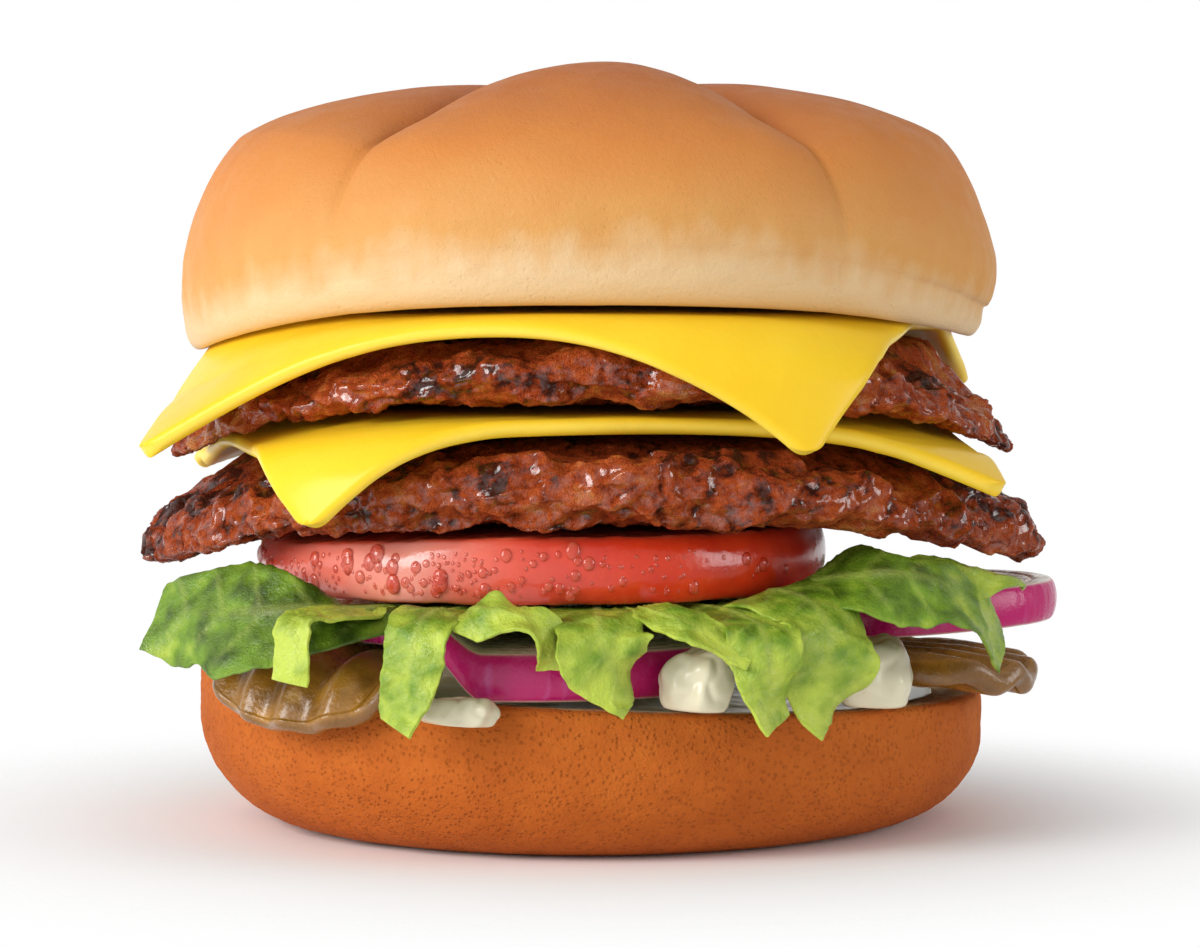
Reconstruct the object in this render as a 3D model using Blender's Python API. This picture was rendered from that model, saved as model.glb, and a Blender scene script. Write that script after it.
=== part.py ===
"""Double cheeseburger: a lobed bun with two beef patties, two cheese slices, tomato, lettuce, red onion,
gherkin chips and mayonnaise, standing on its flat underside. Metres, +Z up, the front faces -Y."""

import math

import bmesh
import bpy
import numpy as np

MM = 0.001
GAP = 0.4 * MM

# The heel is the lower half of the bun. Its cut face leans down towards +X.
HEEL_RADIUS = 50.6 * MM
HEEL_FOOT_RADIUS = 36.9 * MM
HEEL_HEIGHT = 19.0 * MM
HEEL_LEAN = 0.045
HEEL_DISH = 1.2 * MM

# Levels of the layers at the middle of the stack.
ONION_LEVEL = 19.8 * MM
TOMATO_LEVEL = 31.2 * MM
LOWER_PATTY_LEVEL = 40.9 * MM
LOWER_CHEESE_LEVEL = 52.45 * MM
UPPER_PATTY_LEVEL = 55.0 * MM
UPPER_CHEESE_LEVEL = 64.65 * MM
CROWN_LEVEL = 67.7 * MM

# The layers above the tomato are arched: they fall away a little from the middle.
ARCH_X = 1.5 * MM
ARCH_Y = 0.8 * MM
ARCH_SPAN = 42.0 * MM

LOWER_PATTY = dict(radius=(60.5 * MM, 56.5 * MM), thickness=10.4 * MM, edge=5.0 * MM, sag_from=42.0 * MM,
                   sag_left=8.5 * MM, sag_right=7.6 * MM, sag_back=4.0 * MM, thinning=0.10, seed=3)
UPPER_PATTY = dict(radius=(56.0 * MM, 54.0 * MM), thickness=8.9 * MM, edge=4.5 * MM, sag_from=45.0 * MM,
                   sag_left=10.0 * MM, sag_right=8.2 * MM, sag_back=3.5 * MM, thinning=0.14, seed=8)
PATTY_UNEVENNESS = 0.022
PATTY_CRAG = 1.5 * MM
PATTY_CRAG_SIZE = 9.0 * MM

# A cheese slice is a square sheet. hang lists bearings and how far the slice bends down at each, in degrees.
CHEESE_SIDE = 89.0 * MM
CHEESE_THICKNESS = 2.1 * MM
CHEESE_CORNER = 4.0 * MM
CHEESE_BEND = 7.0 * MM
CHEESE_SAG_REACH = 54.0 * MM
LOWER_CHEESE = dict(middle=(-1.6 * MM, -4.6 * MM), turn=12.0,
                    hang=((-35.0, 30.0), (-122.0, 80.0), (150.0, 40.0), (60.0, 45.0)))
UPPER_CHEESE = dict(middle=(-2.7 * MM, -7.4 * MM), turn=-14.0,
                    hang=((-62.0, 76.0), (-146.0, 36.0), (120.0, 40.0), (32.0, 40.0)))

# The crown is the upper half of the bun, with five lobes between creases that run from the middle to the side.
CROWN_RADIUS = 53.0 * MM
CROWN_RIM_RADIUS = 49.5 * MM
CROWN_RIM_HEIGHT = 7.5 * MM
CROWN_TOP = 94.9 * MM
CROWN_FULLNESS = 2.6
CROWN_LOBES = 5
CREASE_DEPTH = 5.0 * MM
CREASE_NOTCH = 0.04
CROWN_TUCK = 0.042
CROWN_SAG_FROM = 45.0 * MM
CROWN_SAG_LEFT = 8.0 * MM
CROWN_SAG_RIGHT = 8.0 * MM
CROWN_SAG_BACK = 2.4 * MM

TOMATO_CENTRE = (-6.0 * MM, -14.5 * MM)
TOMATO_RADIUS = 35.8 * MM
TOMATO_THICKNESS = 9.2 * MM

# The front slice climbs onto the gherkin at its left, between the two places in climb, and is thinner there.
FRONT_ONION = dict(centre=(-7.0 * MM, -24.5 * MM), radius=26.0 * MM, level=ONION_LEVEL,
                   climb=(-12.5 * MM, -19.8 * MM), climb_height=6.2 * MM, thickness=(5.8 * MM, 3.7 * MM))
SIDE_ONION = dict(centre=(40.0 * MM, -8.0 * MM), radius=19.6 * MM, level=24.6 * MM,
                  climb=(20.0 * MM, 60.0 * MM), climb_height=1.8 * MM, thickness=(5.3 * MM, 5.1 * MM))

LEFT_GHERKIN = dict(centre=(-31.2 * MM, -34.6 * MM), radius=(15.5 * MM, 10.8 * MM), level=21.0 * MM, hang=70.0,
                    turn=-42.0)
RIGHT_GHERKIN = dict(centre=(42.5 * MM, -13.0 * MM), radius=(14.6 * MM, 14.2 * MM), level=18.9 * MM, hang=6.0,
                     turn=75.0)
GHERKIN_THICKNESS = 3.2 * MM
GHERKIN_RIPPLE = 0.65 * MM
GHERKIN_RIPPLE_LENGTH = 6.5 * MM
GHERKIN_BEND_AT = 48.0 * MM
GHERKIN_BEND = 4.5 * MM

# The mayonnaise lies at the heel's rim in three dollops: where each sits, its radii along and into the rim, its
# height, and how far it has slipped down past the rim.
DOLLOPS = {
    "mayonnaise_left": dict(centre=(-15.4 * MM, -51.6 * MM), radius=(5.0 * MM, 2.3 * MM),
                            height=3.6 * MM, drop=2.7 * MM),
    "mayonnaise_middle": dict(centre=(12.8 * MM, -48.4 * MM), radius=(4.6 * MM, 4.3 * MM),
                              height=8.0 * MM, drop=0.0),
    "mayonnaise_right": dict(centre=(34.4 * MM, -35.2 * MM), radius=(5.0 * MM, 4.2 * MM),
                             height=8.8 * MM, drop=0.0),
}

# The lettuce is one heap: a core between the onion and the tomato, and leaves that hang over the side. A leaf has a
# route of four points in millimetres, its widths along it, and how deep and how often its edge waves.
LEAF_THICKNESS = 0.9 * MM
LEAVES = {
    "left_leaf": dict(route=((-6, -30, 29.6), (-28, -45, 30.4), (-42, -42, 29.6), (-52.5, -33, 29.0)),
                      widths=(6, 11, 19, 13), ruffle=1.3, waves=2.0, tilt=20, phase=0.4),
    "left_tab": dict(route=((-8, -30, 29.6), (-29, -47, 30.3), (-34.5, -53.5, 29.0), (-35.0, -54.5, 22.6)),
                     widths=(4, 5, 6.5, 5.5), ruffle=0.6, waves=1.5, tilt=0, phase=1.3),
    "front_drop": dict(route=((-6, -30, 29.6), (-18, -52, 30.6), (-20.5, -56.5, 25.5), (-22.5, -55.6, 17.4)),
                       widths=(6, 9.5, 10, 6.5), ruffle=0.9, waves=2.0, tilt=0, phase=2.0),
    "front_curl": dict(route=((-4, -32, 29.6), (-14, -51, 30.4), (-9, -57, 30.5), (-3.5, -54.5, 24.5)),
                       widths=(5, 7, 6.5, 6), ruffle=1.7, waves=2.6, tilt=0, phase=0.2),
    "front_frill": dict(route=((0, -31, 29.6), (1, -51, 30.6), (1.5, -57, 27.0), (4.5, -55.6, 20.0)),
                        widths=(8, 12, 13, 5.5), ruffle=1.5, waves=2.3, tilt=0, phase=3.6),
    "front_strip": dict(route=((2, -32, 29.6), (6, -51, 31.0), (12, -56, 29.2), (19, -56, 25.6)),
                        widths=(4, 5, 6, 5), ruffle=0.7, waves=1.6, tilt=0, phase=5.0),
    "right_drop": dict(route=((4, -30, 29.6), (18, -50, 30.0), (20.5, -56, 25.5), (21.5, -55, 17.6)),
                       widths=(6, 8, 10.5, 5.5), ruffle=1.3, waves=1.9, tilt=0, phase=1.1),
    "right_frill": dict(route=((5, -28, 29.6), (23.5, -44, 32.2), (28, -51, 26.5), (27.6, -49.8, 17.4)),
                        widths=(7, 14, 15, 7), ruffle=1.7, waves=2.4, tilt=0, phase=2.7),
    "right_leaf": dict(route=((6, -27, 29.6), (28, -40, 33.5), (41, -42, 33.2), (50, -34, 24.6)),
                       widths=(7, 11, 15, 8), ruffle=1.2, waves=2.3, tilt=-15, phase=0.9),
    "right_tuft": dict(route=((8, -24, 29.6), (28, -36, 31.5), (44, -35, 33.8), (52, -29, 33.6)),
                       widths=(5, 7, 8, 6), ruffle=1.0, waves=2.6, tilt=-10, phase=4.1),
}
# Round the back the same kinds of leaf follow one another: their bearings in degrees, from +X anticlockwise.
BACK_BEARINGS = (38, 63, 88, 112, 136, 159)
BACK_LEAF = dict(root=18.0, shoulder=38.0, reach=53.5, root_level=28.6, out_level=29.8, width=17.0, ruffle=1.7,
                 waves=2.5)
BACK_SEED = 21
CORE_LEVEL = 28.4 * MM
CORE_TOP = 30.8 * MM
CORE_RADIUS = 19.5 * MM
CORE_CENTRE = (0.0 * MM, -13.0 * MM)
FILL_LEVEL = 20.6 * MM
FILL_CENTRE = (-9.0 * MM, 23.5 * MM)
FILL_RADIUS = (30.0 * MM, 20.0 * MM)
LEAF_CLEARANCE = 0.95 * MM
LEAF_SLOPE = 1.3

COLOURS = {
    "crown": ((0.62, 0.30, 0.12), 0.55), "heel": ((0.52, 0.20, 0.05), 0.7), "cheese": ((0.93, 0.62, 0.05), 0.35),
    "patty": ((0.15, 0.05, 0.025), 0.45), "tomato": ((0.68, 0.09, 0.03), 0.25), "lettuce": ((0.23, 0.42, 0.05), 0.4),
    "onion": ((0.36, 0.04, 0.16), 0.3), "gherkin": ((0.24, 0.16, 0.04), 0.3), "mayonnaise": ((0.82, 0.76, 0.55), 0.3),
}


def ease(low, high, value):
    """0 below low, 1 above high, with a smooth turn between them."""
    t = np.clip((value - low) / (high - low), 0.0, 1.0)
    return t * t * (3.0 - 2.0 * t)


def lumps(points, size, seed, waves=7):
    """Soft lumps from -1 to 1: a mean of plane waves about size long, their directions drawn from the seed."""
    draw = np.random.default_rng(seed)
    total = np.zeros(len(points))
    for _ in range(waves):
        way = draw.normal(size=3)
        way /= np.linalg.norm(way)
        length = size * draw.uniform(0.7, 1.5)
        total += np.cos(2.0 * math.pi * (points @ way / length) + draw.uniform(0.0, 2.0 * math.pi))
    return np.clip(total / math.sqrt(2.0 * waves) * 1.4, -1.0, 1.0)


def arch(x, y):
    """How far the layers above the tomato fall away from the middle: a parabola each way."""
    return ARCH_X * (x / ARCH_SPAN) ** 2 + ARCH_Y * (y / ARCH_SPAN) ** 2


def side_sag(x, y, start, end, left, right, back):
    """The extra fall of an overhanging rim: none inside start, steep at first and eased out to its full depth."""
    r = np.hypot(x, y) + 1e-9
    across = np.abs(x / r) ** 3
    behind = np.clip(y / r, 0.0, 1.0) ** 2
    depth = across * np.where(x < 0, left, right) + behind * back * (1.0 - across)
    return depth * (1.0 - (1.0 - np.clip((r - start) / (end - start), 0.0, 1.0)) ** 1.2)


def heel_top(x, y):
    """The heel's cut face: a plane that leans to +X, dished inside its rim."""
    inside = 1.0 - ease(0.80, 0.97, np.hypot(x, y) / HEEL_RADIUS)
    return HEEL_HEIGHT - HEEL_LEAN * x - HEEL_DISH * inside


def slab_profile(rings, edge_steps, edge):
    """(r, z) of a slab of radius 1 from -1 to 1 high, with rings at the radii named on both faces, and a half-round
    edge that is edge of the radius wide."""
    turns = [-math.pi / 2 + math.pi * i / edge_steps for i in range(edge_steps + 1)]
    rim = [(1.0 - edge + edge * math.cos(a), math.sin(a)) for a in turns]
    return [(r, -1.0) for r in rings] + rim + [(r, 1.0) for r in reversed(rings)]


def heel_shape(points):
    """Template to heel: z from -1 to 1 runs from the underside to the cut face, and the wall swells and tapers."""
    r = np.hypot(points[:, 0], points[:, 1])
    angle = np.arctan2(points[:, 1], points[:, 0])
    up = (points[:, 2] + 1.0) / 2.0
    swell = (1.0 - (1.0 - np.clip(up / 0.62, 0.0, 1.0)) ** 1.9) ** 0.52
    wide = (HEEL_FOOT_RADIUS + (HEEL_RADIUS - HEEL_FOOT_RADIUS) * swell) * r * (1.0 + 0.006 * np.sin(3.0 * angle + 0.5))
    x, y = wide * np.cos(angle), wide * np.sin(angle)
    return np.stack([x, y, up * heel_top(x, y)], axis=1)


def heel_profile(flat_steps, wall_steps):
    """(r, z) of the heel's template: a flat foot, an upright wall and the cut face with a small round at its rim."""
    foot = [(i / flat_steps, -1.0) for i in range(flat_steps)]
    wall = [(1.0, -1.0 + 1.86 * (i / wall_steps) ** 1.6) for i in range(wall_steps + 1)]
    lip = [(0.994, 0.96), (0.975, 1.0)]
    top = [(0.9 * (1.0 - i / flat_steps), 1.0) for i in range(flat_steps + 1)]
    return foot + wall + lip + top


def patty_outline(angle, spec):
    """The patty's radius by bearing: an ellipse with a few uneven waves."""
    draw = np.random.default_rng(spec["seed"])
    rx, ry = spec["radius"]
    base = 1.0 / np.sqrt((np.cos(angle) / rx) ** 2 + (np.sin(angle) / ry) ** 2)
    wave = sum(np.sin(n * angle + draw.uniform(0.0, 6.28)) / n for n in (3, 5, 8, 13))
    return base * (1.0 + PATTY_UNEVENNESS * (wave - 0.4))


def patty_fall(x, y, spec, face=0.0):
    """How far a patty lies below its level at the middle of the stack. face is -1 at its underside and 1 on top,
    which falls further, so that an overhanging rim is thinner."""
    sag = side_sag(x, y, spec["sag_from"], spec["radius"][0], spec["sag_left"], spec["sag_right"], spec["sag_back"])
    return arch(x, y) + sag * (1.0 + spec["thinning"] * face)


def patty_shape(level, spec):
    """Template to patty: an uneven slab with a rounded rim that sags, its sides broken into crags that go inwards."""
    def shape(points):
        r = np.hypot(points[:, 0], points[:, 1])
        angle = np.arctan2(points[:, 1], points[:, 0])
        wide = r * patty_outline(angle, spec)
        x, y = wide * np.cos(angle), wide * np.sin(angle)
        z = level + spec["thickness"] * (points[:, 2] + 1.0) / 2.0 - patty_fall(x, y, spec, points[:, 2])
        placed = np.stack([x, y, z], axis=1)
        crag = PATTY_CRAG * (lumps(placed, PATTY_CRAG_SIZE, spec["seed"]) - 1.0) / 2.0
        crag = crag + PATTY_CRAG * (lumps(placed, PATTY_CRAG_SIZE * 0.45, spec["seed"] + 1) - 1.0) / 4.0
        reach = ease(0.72, 0.9, r)
        outward = np.stack([np.cos(angle), np.sin(angle), 0.8 * points[:, 2]], axis=1)
        return placed + outward * (crag * reach)[:, None]
    return shape


def hang_angle(bearing, hang):
    """The steepest slope of a cheese slice at a bearing: a smooth mix of the slopes named for its corners."""
    weights = [np.exp(4.0 * (np.cos(bearing - math.radians(at)) - 1.0)) for at, _ in hang]
    total = sum(w * math.radians(slope) for w, (_, slope) in zip(weights, hang))
    return total / sum(weights)


def cheese_shape(level, spec, patty):
    """Flat square to draped slice: a point walks its own distance from the middle over the patty, whose rim bends it
    down round an arc of radius CHEESE_BEND, and past that it runs straight at its hang angle."""
    def shape(points):
        turn = math.radians(spec["turn"])
        u, v = points[:, 0] * CHEESE_SIDE / 2.0, points[:, 1] * CHEESE_SIDE / 2.0
        fx = spec["middle"][0] + u * math.cos(turn) - v * math.sin(turn)
        fy = spec["middle"][1] + u * math.sin(turn) + v * math.cos(turn)
        walk, bearing = np.hypot(fx, fy), np.arctan2(fy, fx)
        steepest = hang_angle(bearing, spec["hang"])
        start = patty_outline(bearing, patty) - 4.6 * MM
        bent = np.clip((walk - start) / CHEESE_BEND, 0.0, steepest)
        straight = np.maximum(walk - start - CHEESE_BEND * steepest, 0.0)
        reach = np.minimum(walk, start) + CHEESE_BEND * np.sin(bent) + straight * np.cos(steepest)
        drop = CHEESE_BEND * (1.0 - np.cos(bent)) + straight * np.sin(steepest)
        x, y = reach * np.cos(bearing), reach * np.sin(bearing)
        inner = np.minimum(1.0, CHEESE_SAG_REACH / np.maximum(reach, 1e-6))
        z = level - patty_fall(x * inner, y * inner, patty, 1.0) - drop
        return np.stack([x, y, z], axis=1)
    return shape


def crown_shape(points):
    """Template to crown. Template z from -1 to 0 is the cut face and the rounded rim, and from 0 to 1 the dome, where
    r and z lie on a superellipse. The lobes swell between sharp creases, and the rim sags at the sides."""
    r = np.hypot(points[:, 0], points[:, 1])
    angle = np.arctan2(points[:, 1], points[:, 0])
    up = points[:, 2]
    from_front = (angle + math.pi / 2) * CROWN_LOBES / (2.0 * math.pi)
    across = np.abs(2.0 * (from_front - np.round(from_front)))
    valley = 1.0 - np.sqrt(np.clip(1.0 - across ** 3.2, 0.0, 1.0))
    front = np.exp(-(((angle + math.pi / 2 - 0.08 + math.pi) % (2 * math.pi) - math.pi) / 0.60) ** 2)
    notch = CREASE_NOTCH * valley * ease(0.0, 0.5, up)
    tuck = CROWN_TUCK * ease(0.30, -0.15, up) * np.clip(np.cos(angle), 0.25, 1.0)
    wide = r * CROWN_RADIUS * (1.0 - 0.008 * valley - notch - tuck)
    x, y = wide * np.cos(angle), wide * np.sin(angle)
    dome_foot = CROWN_LEVEL + CROWN_RIM_HEIGHT
    rise = (CROWN_TOP - dome_foot) * np.clip(up, 0.0, 1.0) + CROWN_RIM_HEIGHT * np.clip(up, -1.0, 0.0)
    lobe = ease(1.0, 0.70, r) * (0.30 + 0.70 * ease(0.0, 0.42, r)) * (up > 0.0)
    z = dome_foot + rise - CREASE_DEPTH * valley * lobe
    z += (2.6 * MM * front - 1.4 * MM * ease(0.45, 0.0, r)) * (up > 0.0) * ease(0.95, 0.5, r)
    low = 1.0 - ease(0.0, 1.0, np.clip(up, 0.0, 1.0)) * 0.93
    sag = side_sag(x, y, CROWN_SAG_FROM, CROWN_RADIUS, CROWN_SAG_LEFT, CROWN_SAG_RIGHT, CROWN_SAG_BACK)
    z -= low * (sag + arch(x, y))
    return np.stack([x, y, z], axis=1)


def crown_profile(rings, rim_steps, dome_steps):
    """(r, z) of the crown's template: the cut face, a rounded rim from -1 to 0, and a superellipse dome to 1."""
    inner = CROWN_RIM_RADIUS / CROWN_RADIUS * 0.985
    face = [(r, -1.0) for r in rings] + [(inner, -1.0)]
    rim = []
    for i in range(1, rim_steps + 1):
        a = math.pi / 2 * i / rim_steps
        rim.append((inner + (1.0 - inner) * math.sin(a) ** 0.8, -max(math.cos(a), 0.0) ** 1.1))
    power = 2.0 / CROWN_FULLNESS
    dome = []
    for i in range(1, dome_steps + 1):
        a = math.pi / 2 * i / dome_steps
        dome.append((max(math.cos(a), 0.0) ** power if i < dome_steps else 0.0, math.sin(a) ** power))
    return face + rim + dome


def tomato_shape(points):
    """Template to tomato slice: a nearly round slab whose skin bulges a little."""
    r = np.hypot(points[:, 0], points[:, 1])
    angle = np.arctan2(points[:, 1], points[:, 0])
    wide = TOMATO_RADIUS * r * (1.0 + 0.008 * np.sin(5.0 * angle))
    x, y = TOMATO_CENTRE[0] + wide * np.cos(angle), TOMATO_CENTRE[1] + wide * np.sin(angle)
    top = TOMATO_LEVEL + TOMATO_THICKNESS - patty_fall(x, y, LOWER_PATTY, -1.0)
    z = TOMATO_LEVEL + (top - TOMATO_LEVEL) * (points[:, 2] + 1.0) / 2.0
    return np.stack([x, y, z], axis=1)


def onion_base(x, spec):
    """The underside of an onion slice: level, then climbing by climb_height between the two places in climb."""
    return spec["level"] + spec["climb_height"] * onion_climb(x, spec)


def onion_climb(x, spec):
    """0 where an onion slice lies low and 1 where it has climbed."""
    start, end = spec["climb"]
    return ease(0.0, 1.0, (x - start) / (end - start))


def onion_top(x, spec):
    """The upper face of an onion slice."""
    low, high = spec["thickness"]
    return onion_base(x, spec) + low + (high - low) * onion_climb(x, spec)


def onion_shape(spec):
    """Template to onion slice: a nearly round slab between its underside and its upper face."""
    def shape(points):
        r = np.hypot(points[:, 0], points[:, 1])
        angle = np.arctan2(points[:, 1], points[:, 0])
        wide = spec["radius"] * r * (1.0 + 0.012 * np.sin(2.0 * angle + 0.7))
        x, y = spec["centre"][0] + wide * np.cos(angle), spec["centre"][1] + wide * np.sin(angle)
        base, top = onion_base(x, spec), onion_top(x, spec)
        return np.stack([x, y, base + (top - base) * (points[:, 2] + 1.0) / 2.0], axis=1)
    return shape


def gherkin_shape(spec):
    """Template to gherkin chip: a rippled round slab that bends down over the heel's rim round an arc."""
    def shape(points):
        turn = math.radians(spec["turn"])
        along, across = points[:, 0] * spec["radius"][0], points[:, 1] * spec["radius"][1]
        fx = spec["centre"][0] + along * math.cos(turn) - across * math.sin(turn)
        fy = spec["centre"][1] + along * math.sin(turn) + across * math.cos(turn)
        ripple = GHERKIN_RIPPLE * np.sin(2.0 * math.pi * along / GHERKIN_RIPPLE_LENGTH)
        walk, bearing = np.hypot(fx, fy), np.arctan2(fy, fx)
        steepest = math.radians(spec["hang"])
        bent = np.clip((walk - GHERKIN_BEND_AT) / GHERKIN_BEND, 0.0, steepest)
        straight = np.maximum(walk - GHERKIN_BEND_AT - GHERKIN_BEND * steepest, 0.0)
        lift = ripple + GHERKIN_THICKNESS * (points[:, 2] + 1.0) / 2.0 + GHERKIN_RIPPLE
        reach = np.minimum(walk, GHERKIN_BEND_AT) + (GHERKIN_BEND + lift) * np.sin(bent) + straight * np.cos(steepest)
        drop = (GHERKIN_BEND + lift) * (1.0 - np.cos(bent)) + straight * np.sin(steepest)
        z = spec["level"] - HEEL_LEAN * (fx - spec["centre"][0]) + lift - drop
        return np.stack([reach * np.cos(bearing), reach * np.sin(bearing), z], axis=1)
    return shape


def dollop_shape(spec):
    """Template to dollop: a soft hill on the heel's rim, longer along the rim than across it, and a little uneven."""
    def shape(points):
        cx, cy = spec["centre"]
        out = np.array([cx, cy]) / math.hypot(cx, cy)
        uneven = 1.0 + 0.12 * lumps(points * 10.0 * MM, 13.0 * MM, 11)
        along, across = points[:, 0] * spec["radius"][0] * uneven, points[:, 1] * spec["radius"][1] * uneven
        x, y = cx + out[1] * along + out[0] * across, cy - out[0] * along + out[1] * across
        base = HEEL_HEIGHT - HEEL_LEAN * x + GAP - spec["drop"]
        return np.stack([x, y, base + spec["height"] * uneven * points[:, 2]], axis=1)
    return shape


def dollop_profile(steps):
    """(r, z) of a blob of radius 1 and height 1 that swells above a narrower flat foot."""
    low = math.radians(-40.0)
    turns = [low + (math.pi / 2 - low) * i / steps for i in range(steps + 1)]
    floor = math.sin(low)
    blob = [(math.cos(a) ** 0.9, (math.sin(a) - floor) / (1.0 - floor)) for a in turns[:-1]]
    return [(0.0, 0.0), (0.42, 0.0)] + blob + [(0.0, 1.0)]


def along_route(route, share):
    """Points on the smooth curve through four route points, which it meets at shares 0, 1/3, 2/3 and 1."""
    points = np.array(route, float) * MM
    t = share * 3.0
    total = np.zeros((len(share), 3))
    for i in range(4):
        weight = np.ones(len(share))
        for j in range(4):
            if j != i:
                weight = weight * (t - j) / (i - j)
        total += weight[:, None] * points[i]
    return total


def leaf_room(x, y):
    """The lowest and highest a leaf may lie at a place, so that it passes between what is under and over it. Past
    the edge of a piece the bound opens at LEAF_SLOPE."""
    high = np.full(len(x), LOWER_PATTY_LEVEL) - patty_fall(x, y, LOWER_PATTY, -1.0) - LEAF_CLEARANCE
    past = np.hypot(x - TOMATO_CENTRE[0], y - TOMATO_CENTRE[1]) - TOMATO_RADIUS - 2.0 * LEAF_CLEARANCE
    high = np.minimum(high, TOMATO_LEVEL - LEAF_CLEARANCE * 0.7 + LEAF_SLOPE * np.maximum(past, 0.0))
    low = np.full(len(x), -1.0)
    for spec in (FRONT_ONION, SIDE_ONION):
        past = np.hypot(x - spec["centre"][0], y - spec["centre"][1]) - spec["radius"] - LEAF_CLEARANCE
        onion = np.maximum(onion_top(x - 2.5 * MM, spec), onion_top(x + 2.5 * MM, spec))
        low = np.maximum(low, onion + LEAF_CLEARANCE * 0.85 - 2.5 * np.maximum(past, 0.0))
    past = np.hypot(x, y) - HEEL_RADIUS - LEAF_CLEARANCE
    low = np.maximum(low, heel_top(x, y) + LEAF_CLEARANCE - 6.0 * np.maximum(past, 0.0))
    for spec in DOLLOPS.values():
        past = np.hypot(x - spec["centre"][0], y - spec["centre"][1]) - spec["radius"][0] - LEAF_CLEARANCE
        crest = HEEL_HEIGHT + spec["height"] - spec["drop"] + 2.0 * LEAF_CLEARANCE
        low = np.maximum(low, crest - 6.0 * np.maximum(past, 0.0))
    return low, high


def leaf_shape(leaf):
    """Flat square to leaf: the first coordinate runs along the route and the second across it. The leaf is cupped,
    its edges wave up and down, more towards the rim, and it is kept inside the room between its neighbours."""
    def shape(points):
        share = (points[:, 0] + 1.0) / 2.0
        side = points[:, 1]
        spine = along_route(leaf["route"], share)
        ahead = along_route(leaf["route"], share + 0.01) - along_route(leaf["route"], share - 0.01)
        ahead /= np.linalg.norm(ahead, axis=1)[:, None]
        outward = spine * np.array([1.0, 1.0, 0.0])
        outward /= np.linalg.norm(outward, axis=1)[:, None]
        upward = np.array([0.0, 0.0, 1.0]) + outward * 0.8
        across = np.cross(ahead, upward)
        across /= np.linalg.norm(across, axis=1)[:, None]
        normal = np.cross(across, ahead)
        tilt = (math.radians(leaf["tilt"]) * ease(0.15, 0.6, share))[:, None]
        across, normal = across * np.cos(tilt) + normal * np.sin(tilt), normal * np.cos(tilt) - across * np.sin(tilt)
        width = np.interp(share, (0.0, 1 / 3, 2 / 3, 1.0), leaf["widths"]) * MM / 2.0
        width = width * (1.0 + 0.10 * np.sin(9.0 * share + 3.0 * np.sign(side) + leaf["phase"]))
        free = ease(0.30, 0.60, share)
        wave = np.sin(2.0 * math.pi * leaf["waves"] * share + leaf["phase"] + 1.7 * (side > 0))
        lift = leaf["ruffle"] * MM * free * (0.9 * wave * np.abs(side) ** 1.5 + 0.35 * (1.0 - side ** 2))
        placed = spine + across * (side * width)[:, None] + normal * lift[:, None]
        low, high = leaf_room(placed[:, 0], placed[:, 1])
        placed[:, 2] = np.minimum(np.maximum(placed[:, 2], low), np.maximum(high, low))
        return placed
    return shape


def back_leaves():
    """The leaves round the back, one for each bearing, with lengths, drops and waves drawn from the seed."""
    draw = np.random.default_rng(BACK_SEED)
    leaves = {}
    for number, bearing in enumerate(BACK_BEARINGS):
        way = math.radians(bearing + draw.uniform(-4.0, 4.0))
        out = BACK_LEAF["reach"] + draw.uniform(-1.0, 2.5)
        drop = draw.uniform(3.0, 10.5)
        skew = draw.uniform(-0.10, 0.10)

        def at(distance, level, turn=0.0):
            return (distance * math.cos(way + turn), distance * math.sin(way + turn), level)

        level = BACK_LEAF["out_level"]
        leaves[f"back_leaf_{number}"] = dict(
            route=(at(BACK_LEAF["root"], BACK_LEAF["root_level"]), at(BACK_LEAF["shoulder"], level),
                   at(out, level - 0.2 * drop, skew), at(out - 0.5, level - drop, 1.6 * skew)),
            widths=(6, BACK_LEAF["width"], BACK_LEAF["width"] * 0.95, BACK_LEAF["width"] * 0.5),
            ruffle=BACK_LEAF["ruffle"], waves=BACK_LEAF["waves"], tilt=0, phase=draw.uniform(0.0, 6.28))
    return leaves


def material(name):
    """A plain material in the food's colour, made once."""
    if name in bpy.data.materials:
        return bpy.data.materials[name]
    colour, roughness = COLOURS[name]
    made = bpy.data.materials.new(name)
    made.use_nodes = True
    shader = made.node_tree.nodes["Principled BSDF"]
    shader.inputs["Base Color"].default_value = (*colour, 1.0)
    shader.inputs["Roughness"].default_value = roughness
    return made


def reshape(mesh, shape):
    """Moves every vertex of a template mesh by a shape function."""
    flat = np.empty(len(mesh.vertices) * 3, np.float32)
    mesh.vertices.foreach_get("co", flat)
    mesh.vertices.foreach_set("co", shape(flat.reshape(-1, 3).astype(float)).astype(np.float32).ravel())
    mesh.update()


def finish(bm, name, finish_name, shape):
    """Makes an object of a template, moves it into shape and gives it its material."""
    bmesh.ops.recalc_face_normals(bm, faces=bm.faces)
    mesh = bpy.data.meshes.new(name)
    bm.to_mesh(mesh)
    bm.free()
    reshape(mesh, shape)
    mesh.materials.append(material(finish_name))
    mesh.shade_smooth()
    made = bpy.data.objects.new(name, mesh)
    bpy.context.scene.collection.objects.link(made)
    return made


def turned(name, finish_name, profile, segments, shape):
    """A round piece: the (r, z) profile is spun round Z, closed at its poles, and then moved into shape."""
    bm = bmesh.new()
    rail = [bm.verts.new((r, 0.0, z)) for r, z in profile]
    edges = [bm.edges.new(pair) for pair in zip(rail, rail[1:])]
    bmesh.ops.spin(bm, geom=rail + edges, cent=(0, 0, 0), axis=(0, 0, 1), angle=2.0 * math.pi, steps=segments,
                   use_merge=True)
    bmesh.ops.remove_doubles(bm, verts=bm.verts, dist=1e-5)
    return finish(bm, name, finish_name, shape)


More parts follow.
